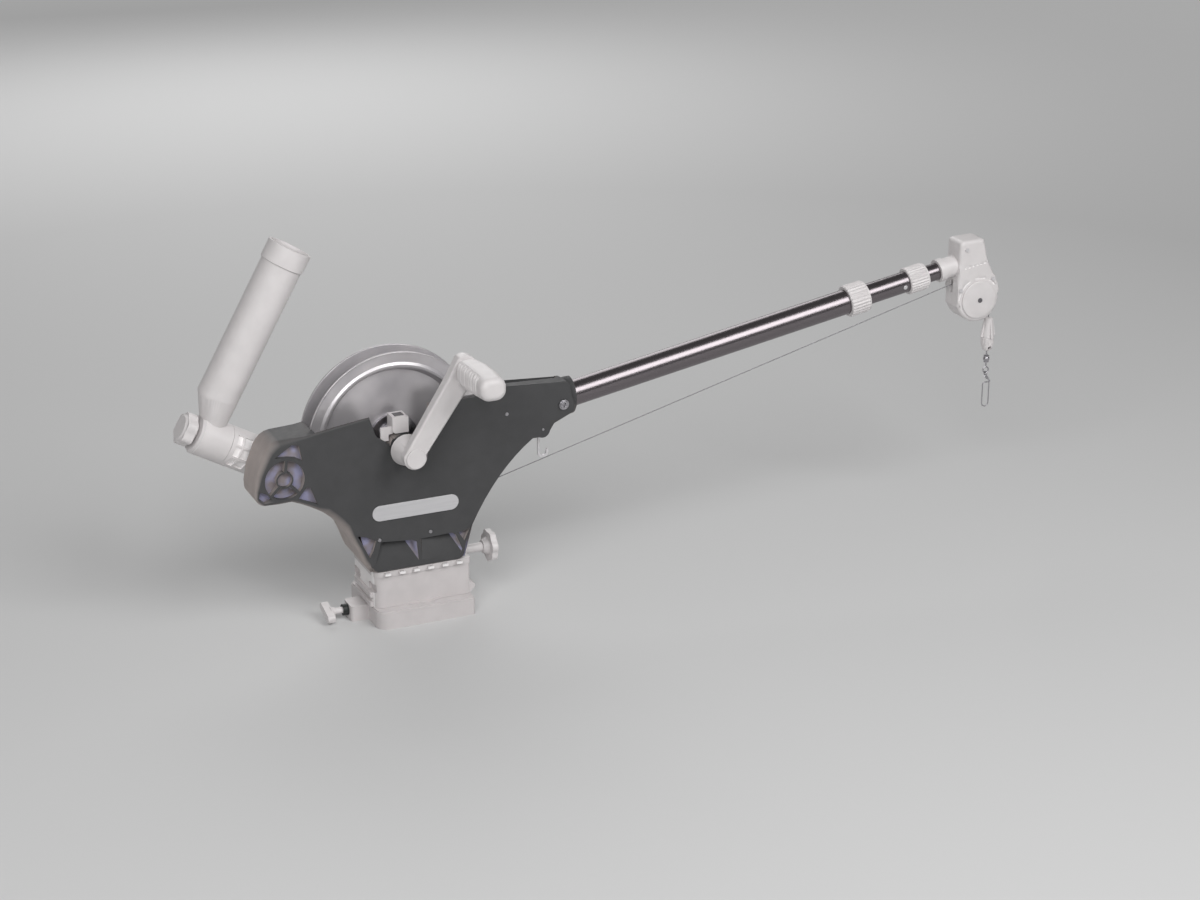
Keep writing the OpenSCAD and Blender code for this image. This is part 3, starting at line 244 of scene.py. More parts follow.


def charcoal_skin():
    """Dark moulded skin with painted light: its rear and under sides are painted a lighter, warmer grey by
    the way each face turns.
    """
    p = moulded("charcoal_plastic", CHARCOAL, 0.55, 0.2, specular=0.25)
    normal = p.coords(kind="Normal")
    rear = p.math("MULTIPLY", p.axis(normal, 0), -REAR_PAINTED_LIGHT, True)
    under = p.math("MULTIPLY", p.axis(normal, 2), -UNDER_PAINTED_LIGHT, True)
    painted_light_share = p.math("ADD", rear, under, True)
    side = p.ramp(painted_light_share, [(0.05, (0, 0, 0, 1)), (0.85, (1, 1, 1, 1))])
    p.set("Base Color", p.mix(side, p.mottle(0.04), p.mottle(0.05, colour=SIDE_PAINTED_LIGHT)))
    return p


def recess_skin():
    """Painted shade on the floors of the frame's recesses, in lavender and brown."""
    p = moulded("recess_painted_shade", RECESS_SHADE_LAVENDER, 0.6, 0.15, specular=0.2)
    field = p.noise(70, 1.0)
    p.set("Base Color", p.ramp(field, [(0.38, RECESS_SHADE_BROWN), (0.62, RECESS_SHADE_LAVENDER)]))
    return p


pale = moulded("pale_plastic", PALE, 0.42)
# Painted shade: a whiter plastic for the insides of pockets, slots and grooves
shade_white = moulded("pocket_painted_shade", srgb(240, 237, 237), 0.5)
base_paint = moulded("base_plastic", srgb(204, 199, 199), 0.45)
charcoal = charcoal_skin()
recess_shade_paint = recess_skin()
black = moulded("black_plastic", srgb(32, 36, 35), 0.5)
bush = moulded("bush_plastic", srgb(58, 58, 60), 0.6)
rubber = moulded("belt_rubber", srgb(45, 45, 46), 0.8, 0.3)
steel = drawn("steel", srgb(178, 176, 180), 0.32)
dark_steel = drawn("dark_steel", srgb(112, 110, 114), 0.5, metal=0.4)
bright_steel = drawn("bright_steel", srgb(214, 212, 214), 0.4, metal=0.4)
tube = drawn("boom_tube", srgb(126, 120, 123), 0.26, (0.02, 1, 1), 0.03, turn=(0, BOOM_TILT, 0),
             scale=900, lines=0.02)
wire = drawn("cable_wire", srgb(140, 139, 142), 0.45, metal=0.8, scale=1500)
badge_plate = drawn("badge_plate", srgb(205, 204, 206), 0.4, (0.05, 1, 1), 0.03, 0.3)
window = Paint("window", srgb(30, 30, 32), 0.1, coat=0.6)
window.uneven(0.12, 0.03)
wheel_white = moulded("wheel_white", srgb(215, 214, 214), 0.3)


def turned_metal():
    """Spool metal with the fine rings that turning leaves; their lighter colour is partly painted sheen,
    standing for a bright ring of light.
    """
    p = Paint("spool_metal", srgb(200, 197, 200), 0.34, 0.6)
    around = p.coords(origin=AXLE)
    rings = p.nt.nodes.new("ShaderNodeTexWave")
    rings.wave_type = "RINGS"
    rings.rings_direction = "Y"
    rings.inputs["Scale"].default_value = 260
    rings.inputs["Distortion"].default_value = 1.5
    rings.inputs["Detail"].default_value = 3
    p.nt.links.new(around, rings.inputs["Vector"])
    cloud = p.noise(22, 2.0, around)
    base = p.ramp(cloud, [(0.3, srgb(182, 179, 183)), (0.7, srgb(212, 208, 210))])
    # Rings drawn lighter: real turning marks, and painted sheen
    p.set("Base Color", p.mix(p.math("MULTIPLY", rings.outputs["Fac"], 0.18), base, srgb(235, 231, 232)))
    p.uneven(0.36, 0.06, 200, around)
    p.bump(rings.outputs["Fac"], 0.08, LINE_DEPTH)
    return p


spool_metal = turned_metal()
SLOTS = {"pale_plastic": pale, "charcoal_plastic": charcoal, "black_plastic": black, "bush_plastic": bush,
         "belt_rubber": rubber, "steel": steel, "boom_tube": tube, "spool_metal": spool_metal,
         "cable_wire": wire, "badge_plate": badge_plate, "window": window, "wheel_white": wheel_white}
for node, slot in SLOT.items():
    mesh = nodes[node].data
    mesh.materials.clear()
    mesh.materials.append(SLOTS[slot].mat)


# Mesh tools
WELD, FLAT_DEG, SHARP_DEG = 2e-6, 1, 35
SQUARE, UPRIGHT = 0.999, 0.02  # least Y part of the normal of a face square to Y, and most of a wall's
LEVEL_GAP, CUT_GAP = 0.05 * MM, 1e-7
RIM_REACH = 0.045  # an outer wall has nothing of its piece in front of it within this distance
RIM_STEPS = 5
RIM_ROOM = 0.7  # share of the way to the nearest hole that a roll may take
RIM_SLOPE = 0.6  # how fast a roll's radius may grow along the rim


def soft_step(x, low, high):
    """From 0 at the low end to 1 at the high end, with soft ends."""
    t = min(1, max(0, (x - low) / (high - low)))
    return t * t * (3 - 2 * t)


def solid_copy(node):
    """A CAD node's mesh with its shared edges joined and its flat faces whole."""
    bm = bmesh.new()
    bm.from_mesh(nodes[node].data)
    bmesh.ops.remove_doubles(bm, verts=bm.verts, dist=WELD)
    bmesh.ops.dissolve_limit(bm, angle_limit=math.radians(FLAT_DEG), verts=bm.verts, edges=bm.edges)
    return bm


def placed(bm, name, materials, angle):
    """Turns a bmesh into a smooth object, with edges that stay sharp over the angle."""
    bmesh.ops.recalc_face_normals(bm, faces=bm.faces)
    mesh = bpy.data.meshes.new(name)
    bm.to_mesh(mesh)
    bm.free()
    for m in materials:
        mesh.materials.append(m.mat)
    obj = bpy.data.objects.new(name, mesh)
    bpy.context.scene.collection.objects.link(obj)
    for p in mesh.polygons:
        p.use_smooth = True
    mesh.set_sharp_from_angle(angle=math.radians(angle))
    return obj


def finished(bm, name, body, materials, stands_for=(), angle=SHARP_DEG):
    """Turns a bmesh into a piece that rides on a body, with flat faces that shade flat."""
    obj = placed(bm, name, materials, angle)
    level = obj.modifiers.new("level", "WEIGHTED_NORMAL")
    level.keep_sharp = True
    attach(obj, body)
    if stands_for:
        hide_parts(*stands_for)
    return obj


def bevel(bm, edges, width, segments):
    """Rounds edges by a width in millimetres."""
    bmesh.ops.bevel(bm, geom=list(edges), offset=width * MM, offset_type="OFFSET", segments=segments,
                    profile=0.5, affect="EDGES", clamp_overlap=True, material=-1)


def rim_edges(bm, side):
    """Edges where a face square to Y meets an outer wall: nothing of the piece lies beyond the wall."""
    under, clear = 1.5 * MM, 0.05 * MM
    tree = BVHTree.FromBMesh(bm)
    found = []
    for e in bm.edges:
        if len(e.link_faces) != 2:
            continue
        flat = [f for f in e.link_faces if f.normal.y * side > SQUARE]
        wall = [f for f in e.link_faces if abs(f.normal.y) < UPRIGHT]
        if not flat or not wall:
            continue
        mid = (e.verts[0].co + e.verts[1].co) / 2
        out = wall[0].normal
        start = mid - Vector((0, side, 0)) * under + out * clear
        if tree.ray_cast(start, out, RIM_REACH)[0] is None:
            found.append(e)
    return found


def skin_rings(bm, rings, closed=False):
    """Joins rings of equally many corners with strips of faces, and gives the faces back by strip."""
    strips = []
    for one, two in zip(rings, rings[1:] + rings[:1] if closed else rings[1:]):
        n = len(one)
        strips.append([bm.faces.new((one[k], one[(k + 1) % n], two[(k + 1) % n], two[k])) for k in range(n)])
    return strips


def gap(point, p, q):
    """Distance from a point to a stretch of line."""
    t = min(1, max(0, intersect_point_line(point, p, q)[1]))
    return (p.lerp(q, t) - point).length


def main_rim(bm, side):
    """Rim edges at the level that has the longest rim."""
    levels = {}
    for e in rim_edges(bm, side):
        levels.setdefault(round(e.verts[0].co.y, 4), []).append(e)
    return max(levels.values(), key=lambda found: sum(e.calc_length() for e in found))


def split_walls(bm, edges, longest):
    """Cuts the wall under each long rim edge into stretches of a given length or less."""
    for e in edges:
        wall = min(e.link_faces, key=lambda f: abs(f.normal.y))
        a, b = e.verts[0].co.copy(), e.verts[1].co.copy()
        count = math.ceil((b - a).length / (longest * MM))
        faces = {wall}
        for k in range(1, count):
            geom = faces | {x for f in faces for x in f.edges} | {v for f in faces for v in f.verts}
            cut = bmesh.ops.bisect_plane(bm, geom=list(geom), dist=CUT_GAP, plane_co=a.lerp(b, k / count),
                                         plane_no=(b - a).normalized())
            faces = {g for g in cut["geom"] if isinstance(g, bmesh.types.BMFace)}


def rim_rolls(bm, rim, walls, level, width):
    """Outward direction and radius at each corner of a rim, so that the roll meets no hole of the face."""
    holes = [(e.verts[0].co.copy(), e.verts[1].co.copy()) for e in bm.edges
             if all(abs(v.co.y - level) < LEVEL_GAP and v not in rim for v in e.verts)]
    out, radius, eased = {}, {}, {}
    for v in rim:
        normals = [f.normal for f in v.link_faces if f in walls]
        total = Vector((0, 0, 0))
        for n in normals:
            total += n
        total.normalize()
        out[v] = total / min(max(total.dot(n), 0.5) for n in normals)
        room = min((gap(v.co, p, q) for p, q in holes), default=1)
        radius[v] = min(width(v.co) * MM, RIM_ROOM * room / out[v].length)
    for v in rim:
        near = [e.other_vert(v) for e in v.link_edges if e.other_vert(v) in rim]
        eased[v] = min([radius[v]] + [radius[n] + (n.co - v.co).length * RIM_SLOPE for n in near])
    return out, eased


def round_rim(bm, side, width, steps=RIM_STEPS, longest=None):
    """Rolls the outer rim over to the main face at the side, with a radius that width(point) gives."""
    edges = main_rim(bm, side)
    if longest:
        split_walls(bm, edges, longest)
        edges = main_rim(bm, side)
    rim = {v for e in edges for v in e.verts}
    level = edges[0].verts[0].co.y
    walls = {f for e in edges for f in e.link_faces if abs(f.normal.y) < UPRIGHT}
    out, radius = rim_rolls(bm, rim, walls, level, width)
    most = max(radius.values())
    # Cuts round the walls, one for each step of the roll
    geom = walls | {e for f in walls for e in f.edges} | {v for f in walls for v in f.verts}
    rings = []
    for k in range(1, steps + 1):
        depth = most * (1 - math.cos(math.pi / 2 * k / steps))
        cut = bmesh.ops.bisect_plane(bm, geom=list(geom), dist=CUT_GAP,
                                     plane_co=(0, level - side * depth, 0), plane_no=(0, 1, 0))
        rings.append([g for g in cut["geom_cut"] if isinstance(g, bmesh.types.BMVert)])
        geom = set(cut["geom"])
    # Each cut moves up and in by the roll of the rim's nearest corner
    keys = [(v, v.co.copy()) for v in rim]
    for k, line in enumerate(rings, start=1):
        turn = math.pi / 2 * k / steps
        for v in line:
            base = min(keys, key=lambda item: (item[1].x - v.co.x) ** 2 + (item[1].z - v.co.z) ** 2)[0]
            v.co.y = level - side * radius[base] * (1 - math.cos(turn))
            v.co -= out[base] * radius[base] * (1 - math.sin(turn))
    for v in rim:
        v.co -= out[v] * radius[v]
    return level


def refill(bm, level):
    """Fills the flat face at a level again between its outlines, so that no long face folds over."""
    flat = [f for f in bm.faces
            if abs(f.normal.y) > SQUARE and abs(f.calc_center_median().y - level) < LEVEL_GAP]
    lines = [e for e in {e for f in flat for e in f.edges} if sum(f in flat for f in e.link_faces) == 1]
    normal = flat[0].normal.copy()
    bmesh.ops.delete(bm, geom=flat, context="FACES")
    bmesh.ops.triangle_fill(bm, edges=[e for e in lines if e.is_valid], use_beauty=True, use_dissolve=False,
                            normal=normal)


# Frame halves with their rolled rims
def near_roll(p):
    """Rim radius in millimetres: broad on the lobe, the arch and the foot's rear edge, small elsewhere."""
    small, broad, top_share = 1.6, 10.0, 0.9
    rear = 1 - soft_step(p.x, -0.085, -0.05)
    top = soft_step(p.z, FOOT_Z + 0.17, FOOT_Z + 0.185) * soft_step(p.x, -0.19, -0.13)
    return small + (broad - small) * rear * (1 - top_share * top)


def in_recess(f):
    """Faces that take the painted shade: floors of the lobe's recesses, of the foot's corners, and the front
    ends of the foot's scoops.
    """
    c = f.calc_center_median()
    inner = -FRAME_Y + 0.5 * MM < c.y < -FRAME_Y + 12 * MM
    lobe = c.x < LOBE_FRONT and c.z > LOBE_LOW and f.normal.y < -0.9
    corner = c.z < SCOOP_TOP and f.normal.y < -SQUARE
    scoop_end = c.z < SCOOP_TOP and f.normal.x < -0.3 and f.normal.y < -0.3
    return inner and (lobe or corner or scoop_end)


LOBE_FRONT, LOBE_LOW, SCOOP_TOP = -0.125, FOOT_Z + 0.095, FOOT_Z + 0.06
FAR_RIM = 2.5
bm = solid_copy("frame_near")
round_rim(bm, -1, near_roll, steps=8)
# The recess floors take the painted shade
for f in bm.faces:
    f.material_index = 1 if in_recess(f) else 0
finished(bm, "frame_near_skin", "swivel", [charcoal, recess_shade_paint], ["frame_near"])

bm = solid_copy("frame_far")
round_rim(bm, 1, lambda p: FAR_RIM)
finished(bm, "frame_far_skin", "swivel", [charcoal], ["frame_far"])


# Rounded edges of the moulded and turned pieces, and painted shade in white in their pockets
def soften(node, width):
    """Rounds the sharp edges of a CAD node with modifiers, by a width in millimetres."""
    obj = nodes[node]
    weld = obj.modifiers.new("weld", "WELD")
    weld.merge_threshold = WELD
    flat = obj.modifiers.new("flat", "DECIMATE")
    flat.decimate_type = "DISSOLVE"
    flat.angle_limit = math.radians(FLAT_DEG)
    edge = obj.modifiers.new("edge", "BEVEL")
    edge.width = width * MM
    edge.segments = 3
    edge.limit_method = "ANGLE"
    edge.angle_limit = math.radians(SHARP_DEG)
    edge.miter_outer = "MITER_ARC"
    for p in obj.data.polygons:
        p.use_smooth = True
    level = obj.modifiers.new("level", "WEIGHTED_NORMAL")
    level.keep_sharp = False


tilt = next(j for j in record["behaviour"]["joints"] if j["name"] == "rod_holder_tilt")
ARM = Vector(tilt["pos_m"])
ARM_DIR = Vector(tilt["axis"]).normalized()
ARM_R = 24.5 * MM


def in_stub_pocket(c, normal):
    """Inside the rod stub's side pockets, which lie in one stretch of its round skin."""
    v = c - ARM
    along = v.dot(ARM_DIR)
    deep = ARM_R - (v - ARM_DIR * along).length
    return 30 * MM < along < 54 * MM and 0.4 * MM < deep < 4 * MM


def in_lip_slot(c, normal):
    """Inside the slots of the swivel block's lip on the near side."""
    behind = BLOCK[1].y - 1.7 * MM < -c.y < BLOCK[1].y - 0.2 * MM
    return behind and c.z > BLOCK[1].z - 4.2 * MM and abs(normal.z) < 0.5


def in_rear_pocket(c, normal):
    """Floors of the pockets in the swivel block's rear end."""
    deep = BLOCK[0].x + 2.5 * MM < c.x < BLOCK[0].x + 6 * MM
    return deep and normal.x < -0.9 and 15 * MM < abs(c.y) < 37 * MM


def paint_pocket_shade(mesh, inside):
    """Pockets take painted shade in a whiter plastic: faces whose middle passes the test."""
    mesh.materials.append(shade_white.mat)
    for p in mesh.polygons:
        if inside(p.center, p.normal):
            p.material_index = len(mesh.materials) - 1


for node in ("base_plate", "swivel_block"):
    nodes[node].data.materials[0] = base_paint.mat
# The block's lip slots and rear pockets, and the rod stub's pockets, get painted shade in white
paint_pocket_shade(nodes["swivel_block"].data, in_lip_slot)
paint_pocket_shade(nodes["swivel_block"].data, in_rear_pocket)
paint_pocket_shade(nodes["rod_stub"].data, in_stub_pocket)

# Width of each node's rounded edges in millimetres
EDGES = {"base_plate": 1.2, "swivel_block": 0.5, "lock_pin": 0.9, "lock_pin_collar": 0.6, "swivel_knob": 1.3,
         "crank_cap": 0.5, "counter_case": 0.7, "head_cover": 0.5, "outer_collar": 0.4,
         "middle_collar": 0.4, "terminator": 0.4, "rod_stub": 0.8, "rod_holder": 0.7, "rod_clamp_knob": 1.4,
         "badge": 0.7, "boom_clamp_screw": 0.4, "frame_bolts": 0.3, "head_screws": 0.3, "near_bushing": 0.4,
         "axle_nut": 0.5, "storage_hook": 0.4, "spool_hub": 0.5, "spool": 0.5, "pulley": 0.3}
for node, width in EDGES.items():
    soften(node, width)

# Crank arm: its shank leans to the rear of the line from hub to grip, and its end widens into a pad
GRIP = middle("grip_pin")
CRANK_DIR = Vector((GRIP.x - AXLE.x, 0, GRIP.z - AXLE.z)).normalized()
LEAN = Vector((-CRANK_DIR.z, 0, CRANK_DIR.x)) * 5 * MM
CRANK_RIM, SHANK_DEPTH, PIN_CLEAR = 3.0, 17 * MM, 14 * MM
LEAN_FROM, LEAN_TO = 10 * MM, 80 * MM
bm = solid_copy("crank_arm")
round_rim(bm, -1, lambda p: CRANK_RIM)
CRANK_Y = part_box("crank_arm")[0].y
for v in bm.verts:
    if v.co.y < CRANK_Y + SHANK_DEPTH and math.hypot(v.co.x - GRIP.x, v.co.z - GRIP.z) > PIN_CLEAR:
        v.co += LEAN * soft_step((v.co - AXLE).dot(CRANK_DIR), LEAN_FROM, LEAN_TO)
finished(bm, "crank_arm_skin", BODY["crank_arm"], [pale], ["crank_arm"])


PAD = [(-20, -33), (14, -33), (9, 13.5), (-15.5, 13.5)]
PAD_CORNER, PAD_RIM = 5, 1.6
PAD_Y = CRANK_Y + 7.2 * MM, CRANK_Y + 15.6 * MM


def end_pad(outline, y0, y1):
    """Plate behind the grip's root, from an outline in millimetres round the grip's pin."""
    bm = bmesh.new()
    front = bm.faces.new([bm.verts.new((GRIP.x + x * MM, y0, GRIP.z + z * MM)) for x, z in outline])
    grown = bmesh.ops.extrude_face_region(bm, geom=[front])
    for g in grown["geom"]:
        if isinstance(g, bmesh.types.BMVert):
            g.co.y = y1
    bm.normal_update()
    bevel(bm, [e for e in bm.edges if abs(e.verts[0].co.y - e.verts[1].co.y) > MM], PAD_CORNER, 6)
    bm.normal_update()
    sharp = [e for e in bm.edges if len(e.link_faces) == 2 and e.calc_face_angle(0) > math.radians(60)]
    bevel(bm, [e for e in sharp if e.verts[0].co.y < (y0 + y1) / 2 > e.verts[1].co.y], PAD_RIM, 4)
    return finished(bm, "crank_end_pad", BODY["crank_arm"], [pale])


end_pad(PAD, *PAD_Y)


# Boom head: rolled rims, and painted shade in white in the arcs and slots of its near face
def in_head_slot(c):
    """Inside the near face's arcs round the cover, or its row of slots above: faces that take painted shade
    in white.
    """
    v = (c - PULLEY) / MM
    arcs = COVER_R + 2.9 < math.hypot(v.x, v.z) < COVER_R + 5.5 and v.z > 0
    row = 42 < v.z < 51 and -24 < v.x < 11
    return HEAD_Y + 0.2 * MM < c.y < HEAD_Y + 2.6 * MM and (arcs or row)


HEAD_RIM, HEAD_SPLIT = 4.5, 1.5
HEAD_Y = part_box("head_near")[0].y
COVER_R = half("head_cover", 0) / MM
for node, side in (("head_near", -1), ("head_far", 1)):
    bm = solid_copy(node)
    refill(bm, round_rim(bm, side, lambda p: HEAD_RIM, longest=HEAD_SPLIT))
    # Slot faces of the near half take painted shade in white
    for f in bm.faces:
        f.material_index = 1 if side < 0 and in_head_slot(f.calc_center_median()) else 0
    finished(bm, node + "_skin", "head", [pale, shade_white], [node])

# The storage hook and the head's screws are bright, and the cover's screw is dark
nodes["storage_hook"].data.materials[0] = bright_steel.mat
mesh = nodes["head_screws"].data
mesh.materials[0] = bright_steel.mat
mesh.materials.append(dark_steel.mat)
for p in mesh.polygons:
    if math.hypot(p.center.x - PULLEY.x, p.center.z - PULLEY.z) < 5 * MM:
        p.material_index = 1

# Grip: a rounded bar that narrows towards its end, with finger grooves on its rear side, whose valleys take
# painted shade in white
GRIP_Y = [v.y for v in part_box("crank_grip")]
# Distance from the arm, shift along X, half width, half height and corner radius, in millimetres
SECTIONS = [(0, -3.5, 13.5, 14.5, 9), (4, -3.5, 14.5, 15.5, 10), (25, -1.5, 16.8, 16.3, 11),
            (50, 0, 17.2, 15.3, 12), (72, 0, 15.8, 13.8, 12), (76, 0, 15.2, 13.2, 12)]
GRIP_STEPS = 150
FREE_ROUND, ROOT_ROUND = 7.5, 3.0
GROOVE_DEPTH, GROOVE_PITCH, GROOVE_START, VALLEY = 2.1, 6.3, 4, 0.9


def section_at(s):
    """The grip's section between the listed ones."""
    for (s0, *a), (s1, *b) in zip(SECTIONS, SECTIONS[1:]):
        if s <= s1:
            t = (s - s0) / (s1 - s0)
            return [u + (v - u) * t for u, v in zip(a, b)]
    return SECTIONS[-1][1:]


def rounded_ring(w, h, r, corner=12, straight=6):
    """Points and outward directions round a rounded rectangle with half sides w and h."""
    ring = []
    centres = [(w - r, h - r, 0), (-(w - r), h - r, 90), (-(w - r), -(h - r), 180), (w - r, -(h - r), 270)]
    for k, (cx, cz, a0) in enumerate(centres):
        for i in range(corner + 1):
            a = math.radians(a0 + 90 * i / corner)
            ring.append((cx + r * math.cos(a), cz + r * math.sin(a), math.cos(a), math.sin(a)))
        nx, nz, _ = centres[(k + 1) % 4]
        a = math.radians(a0 + 90)
        x0, z0 = cx + r * math.cos(a), cz + r * math.sin(a)
        x1, z1 = nx + r * math.cos(a), nz + r * math.sin(a)
        for i in range(1, straight):
            t = i / straight
            ring.append((x0 + (x1 - x0) * t, z0 + (z1 - z0) * t, math.cos(a), math.sin(a)))
    return ring


def groove_at(s, nx, nz):
    """Depth of the finger grooves in millimetres, at a distance and an outward direction."""
    side = max(0, -nx) ** 0.7 if nx < -0.05 and nz < 0.8 else 0
    wave = (0.5 - 0.5 * math.cos(2 * math.pi * (s - GROOVE_START) / GROOVE_PITCH)) ** 1.5
    return GROOVE_DEPTH * wave * side * soft_step(s, 3, 6) * (1 - soft_step(s, 58, 62))


def grip_skin():
    bm = bmesh.new()
    length = (GRIP_Y[1] - GRIP_Y[0]) / MM
    rings, depths = [], []
    for i in range(GRIP_STEPS + 1):
        s = length * i / GRIP_STEPS
        shift, w, h, r = section_at(s)
        sink = 0
        for d, big in ((length - s, FREE_ROUND), (s, ROOT_ROUND)):
            if d < big:
                sink = max(sink, big - math.sqrt(max(0, big * big - (big - d) ** 2)))
        ring, depth = [], []
        for x, z, nx, nz in rounded_ring(w, h, r):
            groove = groove_at(s, nx, nz)
            ring.append(bm.verts.new((GRIP.x + (shift + x - nx * (sink + groove)) * MM, GRIP_Y[1] - s * MM,
                                      GRIP.z + (z - nz * (sink + groove)) * MM)))
            depth.append(groove)
        rings.append(ring)
        depths.append(depth)
    # Faces deeper than VALLEY in the grooves take painted shade in white
    for strip, depth in zip(skin_rings(bm, rings), depths):
        for k, face in enumerate(strip):
            face.material_index = 1 if max(depth[k], depth[(k + 1) % len(depth)]) > VALLEY else 0
    bm.faces.new(rings[0][::-1])
    bm.faces.new(rings[-1])
    return finished(bm, "crank_grip_skin", "grip", [pale, shade_white], ["crank_grip"], 60)


grip_skin()


# Round pieces turned again with fine steps
def turned(bm, profile, start, direction, steps=96):
    """Closed profile of (distance along, radius) pairs in millimetres, turned round a line."""
    turn = Vector((0, 0, 1)).rotation_difference(direction).to_matrix()
    rings = []
    for i in range(steps):
        a = 2 * math.pi * i / steps
        spots = [Vector((r * MM * math.cos(a), r * MM * math.sin(a), s * MM)) for s, r in profile]
        rings.append([bm.verts.new(start + turn @ spot) for spot in spots])
    skin_rings(bm, rings, closed=True)


def lathe(name, profile, start, direction, body, paint, stands_for):
    """Turned piece with one paint."""
    bm = bmesh.new()
    turned(bm, profile, start, direction)
    return finished(bm, name, body, [paint], stands_for)


def along_boom(node):
    """Ends of a boom piece, as distances along the boom from the point over the origin."""
    spans = [(v.co - BOOM_START).dot(BOOM_DIR) / MM for v in nodes[node].data.vertices]
    return min(spans), max(spans)


TUBE_WALL, TUBE_EDGE = 1.5, 0.35
for node, radius in (("boom_tube_outer", 15.9), ("boom_tube_middle", 13.5), ("boom_tube_inner", 11.1)):
    s0, s1 = along_boom(node)
    length, bore_r = s1 - s0, radius - TUBE_WALL
    profile = [(0, bore_r), (0, radius - TUBE_EDGE), (TUBE_EDGE, radius), (length - TUBE_EDGE, radius),
               (length, radius - TUBE_EDGE), (length, bore_r + TUBE_EDGE), (length - TUBE_EDGE, bore_r)]
    lathe(node + "_skin", profile, BOOM_START + BOOM_DIR * s0 * MM, BOOM_DIR, BODY[node], tube, [node])


# Painted shade: white plates at the floors of the slots along the swivel block's lip
SLOT_COUNT, SLOT_PITCH, SLOT_DEPTH, SLOT_DROP = 6, 18.3, 0.3, 2.6
FLOOR_SIZE = Vector((7.2, 3, 2.8)) * MM
bm = bmesh.new()
for i in range(SLOT_COUNT):
    for side, y in ((-1, BLOCK[0].y), (1, BLOCK[1].y)):
        place = Vector(((i - (SLOT_COUNT - 1) / 2) * SLOT_PITCH * MM,
                        y - side * (FLOOR_SIZE.y / 2 + SLOT_DEPTH * MM), BLOCK[1].z - SLOT_DROP * MM))
        bmesh.ops.create_cube(bm, size=1, matrix=Matrix.LocRotScale(place, None, FLOOR_SIZE))
bevel(bm, bm.edges, 0.12, 2)
finished(bm, "lip_slot_painted_shade", "swivel", [shade_white])


# Band round the mouth of the rod tube
bore = next(m for m in record["mounts"] if m["name"] == "rod_tube")
ROD_DIR = Vector(bore["axis"]).normalized()
ROD_WALL, BAND_L, BAND_TOP, BAND_PROUD, BAND_EDGE = 2.4, 21, 2, 1.7, 0.8
ROD_R = bore["dims"]["r_mm"] + ROD_WALL
reach = max((v.co - Vector(bore["pos_m"])).dot(ROD_DIR) for v in nodes["rod_holder"].data.vertices)
band_foot = Vector(bore["pos_m"]) + ROD_DIR * (reach - (BAND_L + BAND_TOP) * MM)
band = [(0, ROD_R - 0.5), (0, ROD_R + BAND_PROUD - BAND_EDGE), (BAND_EDGE, ROD_R + BAND_PROUD),
        (BAND_L, ROD_R + BAND_PROUD), (BAND_L, ROD_R - 0.5)]
lathe("rod_holder_band", band, band_foot, ROD_DIR, "rod_holder", pale, [])


# Cable: one line from the winding under the guide bar to the pulley, in three pieces, then the drop
CABLE_R = 0.6
LAY, STATION = 9 * MM, 4 * MM
GUIDE_GAP, FREE_START, STRAND_DEG = 0.02, 17, 50
GUIDE = middle("line_guide_bar")
GUIDE_R = half("line_guide_bar", 2) / MM
PULLEY_R = 27.4
WOUND_R = half("cable_winding", 0) / MM - CABLE_R


def touch(centre, radius, point, side):
    """Point of a circle where the line from a point touches it, in the XZ plane."""
    v = point - centre
    a = math.atan2(v.z, v.x) + side * math.acos(radius * MM / Vector((v.x, v.z)).length)
    return centre + Vector((math.cos(a), 0, math.sin(a))) * radius * MM


guide_point = Vector((GUIDE.x + 0.5 * MM, 0, GUIDE.z - (GUIDE_R + CABLE_R + GUIDE_GAP) * MM))
axle = Vector((AXLE.x, 0, AXLE.z))
pulley = Vector((PULLEY.x, 0, PULLEY.z))
wind_point = touch(axle, WOUND_R, guide_point, -1)
over_point = touch(pulley, PULLEY_R, guide_point, -1)
first = wind_point + (guide_point - wind_point).normalized() * FREE_START * MM


def stations(a, b):
    """Points along a straight stretch."""
    n = max(2, round((b - a).length / STATION))
    return [a.lerp(b, i / n) for i in range(n + 1)]


def strand(bm, path, sides=18):
    """Twisted wire cable: six strands round a line."""
    rings, gone = [], 0
    side = Vector((0, 1, 0))
    for i, p in enumerate(path):
        ahead = (path[min(i + 1, len(path) - 1)] - path[max(i - 1, 0)]).normalized()
        up = ahead.cross(side).normalized()
        gone += (p - path[i - 1]).length if i else 0
        twist = 2 * math.pi * gone / LAY
        ring = []
        for k in range(sides):
            a = 2 * math.pi * k / sides
            r = CABLE_R * MM * (0.93 + 0.07 * math.cos(6 * (a - twist / 6)))
            ring.append(bm.verts.new(p + (side * math.cos(a) + up * math.sin(a)) * r))
        rings.append(ring)
    skin_rings(bm, rings)
    bm.faces.new(rings[0][::-1])
    bm.faces.new(rings[-1])


def cable_piece(name, path, body=None):
    bm = bmesh.new()
    strand(bm, path)
    obj = placed(bm, name, [wire], STRAND_DEG)
    if body:
        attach(obj, body)
    return obj


half_way = guide_point.lerp(over_point, 0.5)
nearly = guide_point.lerp(over_point, 0.9)
runs = [("cable_run_lower", "cable_lower", stations(first, guide_point) + stations(guide_point, half_way)[1:],
         "swivel", "boom_middle", guide_point, half_way),
        ("cable_run_middle", "cable_middle", stations(half_way, nearly),
         "boom_middle", "boom_inner", half_way, nearly),
        ("cable_run_upper", "cable_upper", stations(nearly, over_point),
         "boom_inner", "head", nearly, over_point)]
for name, node, path, one, two, start, end in runs:
    obj = cable_piece(name, path)
    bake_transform(obj)
    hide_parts(node)
    length = sum((b - a).length for a, b in zip(path, path[1:]))

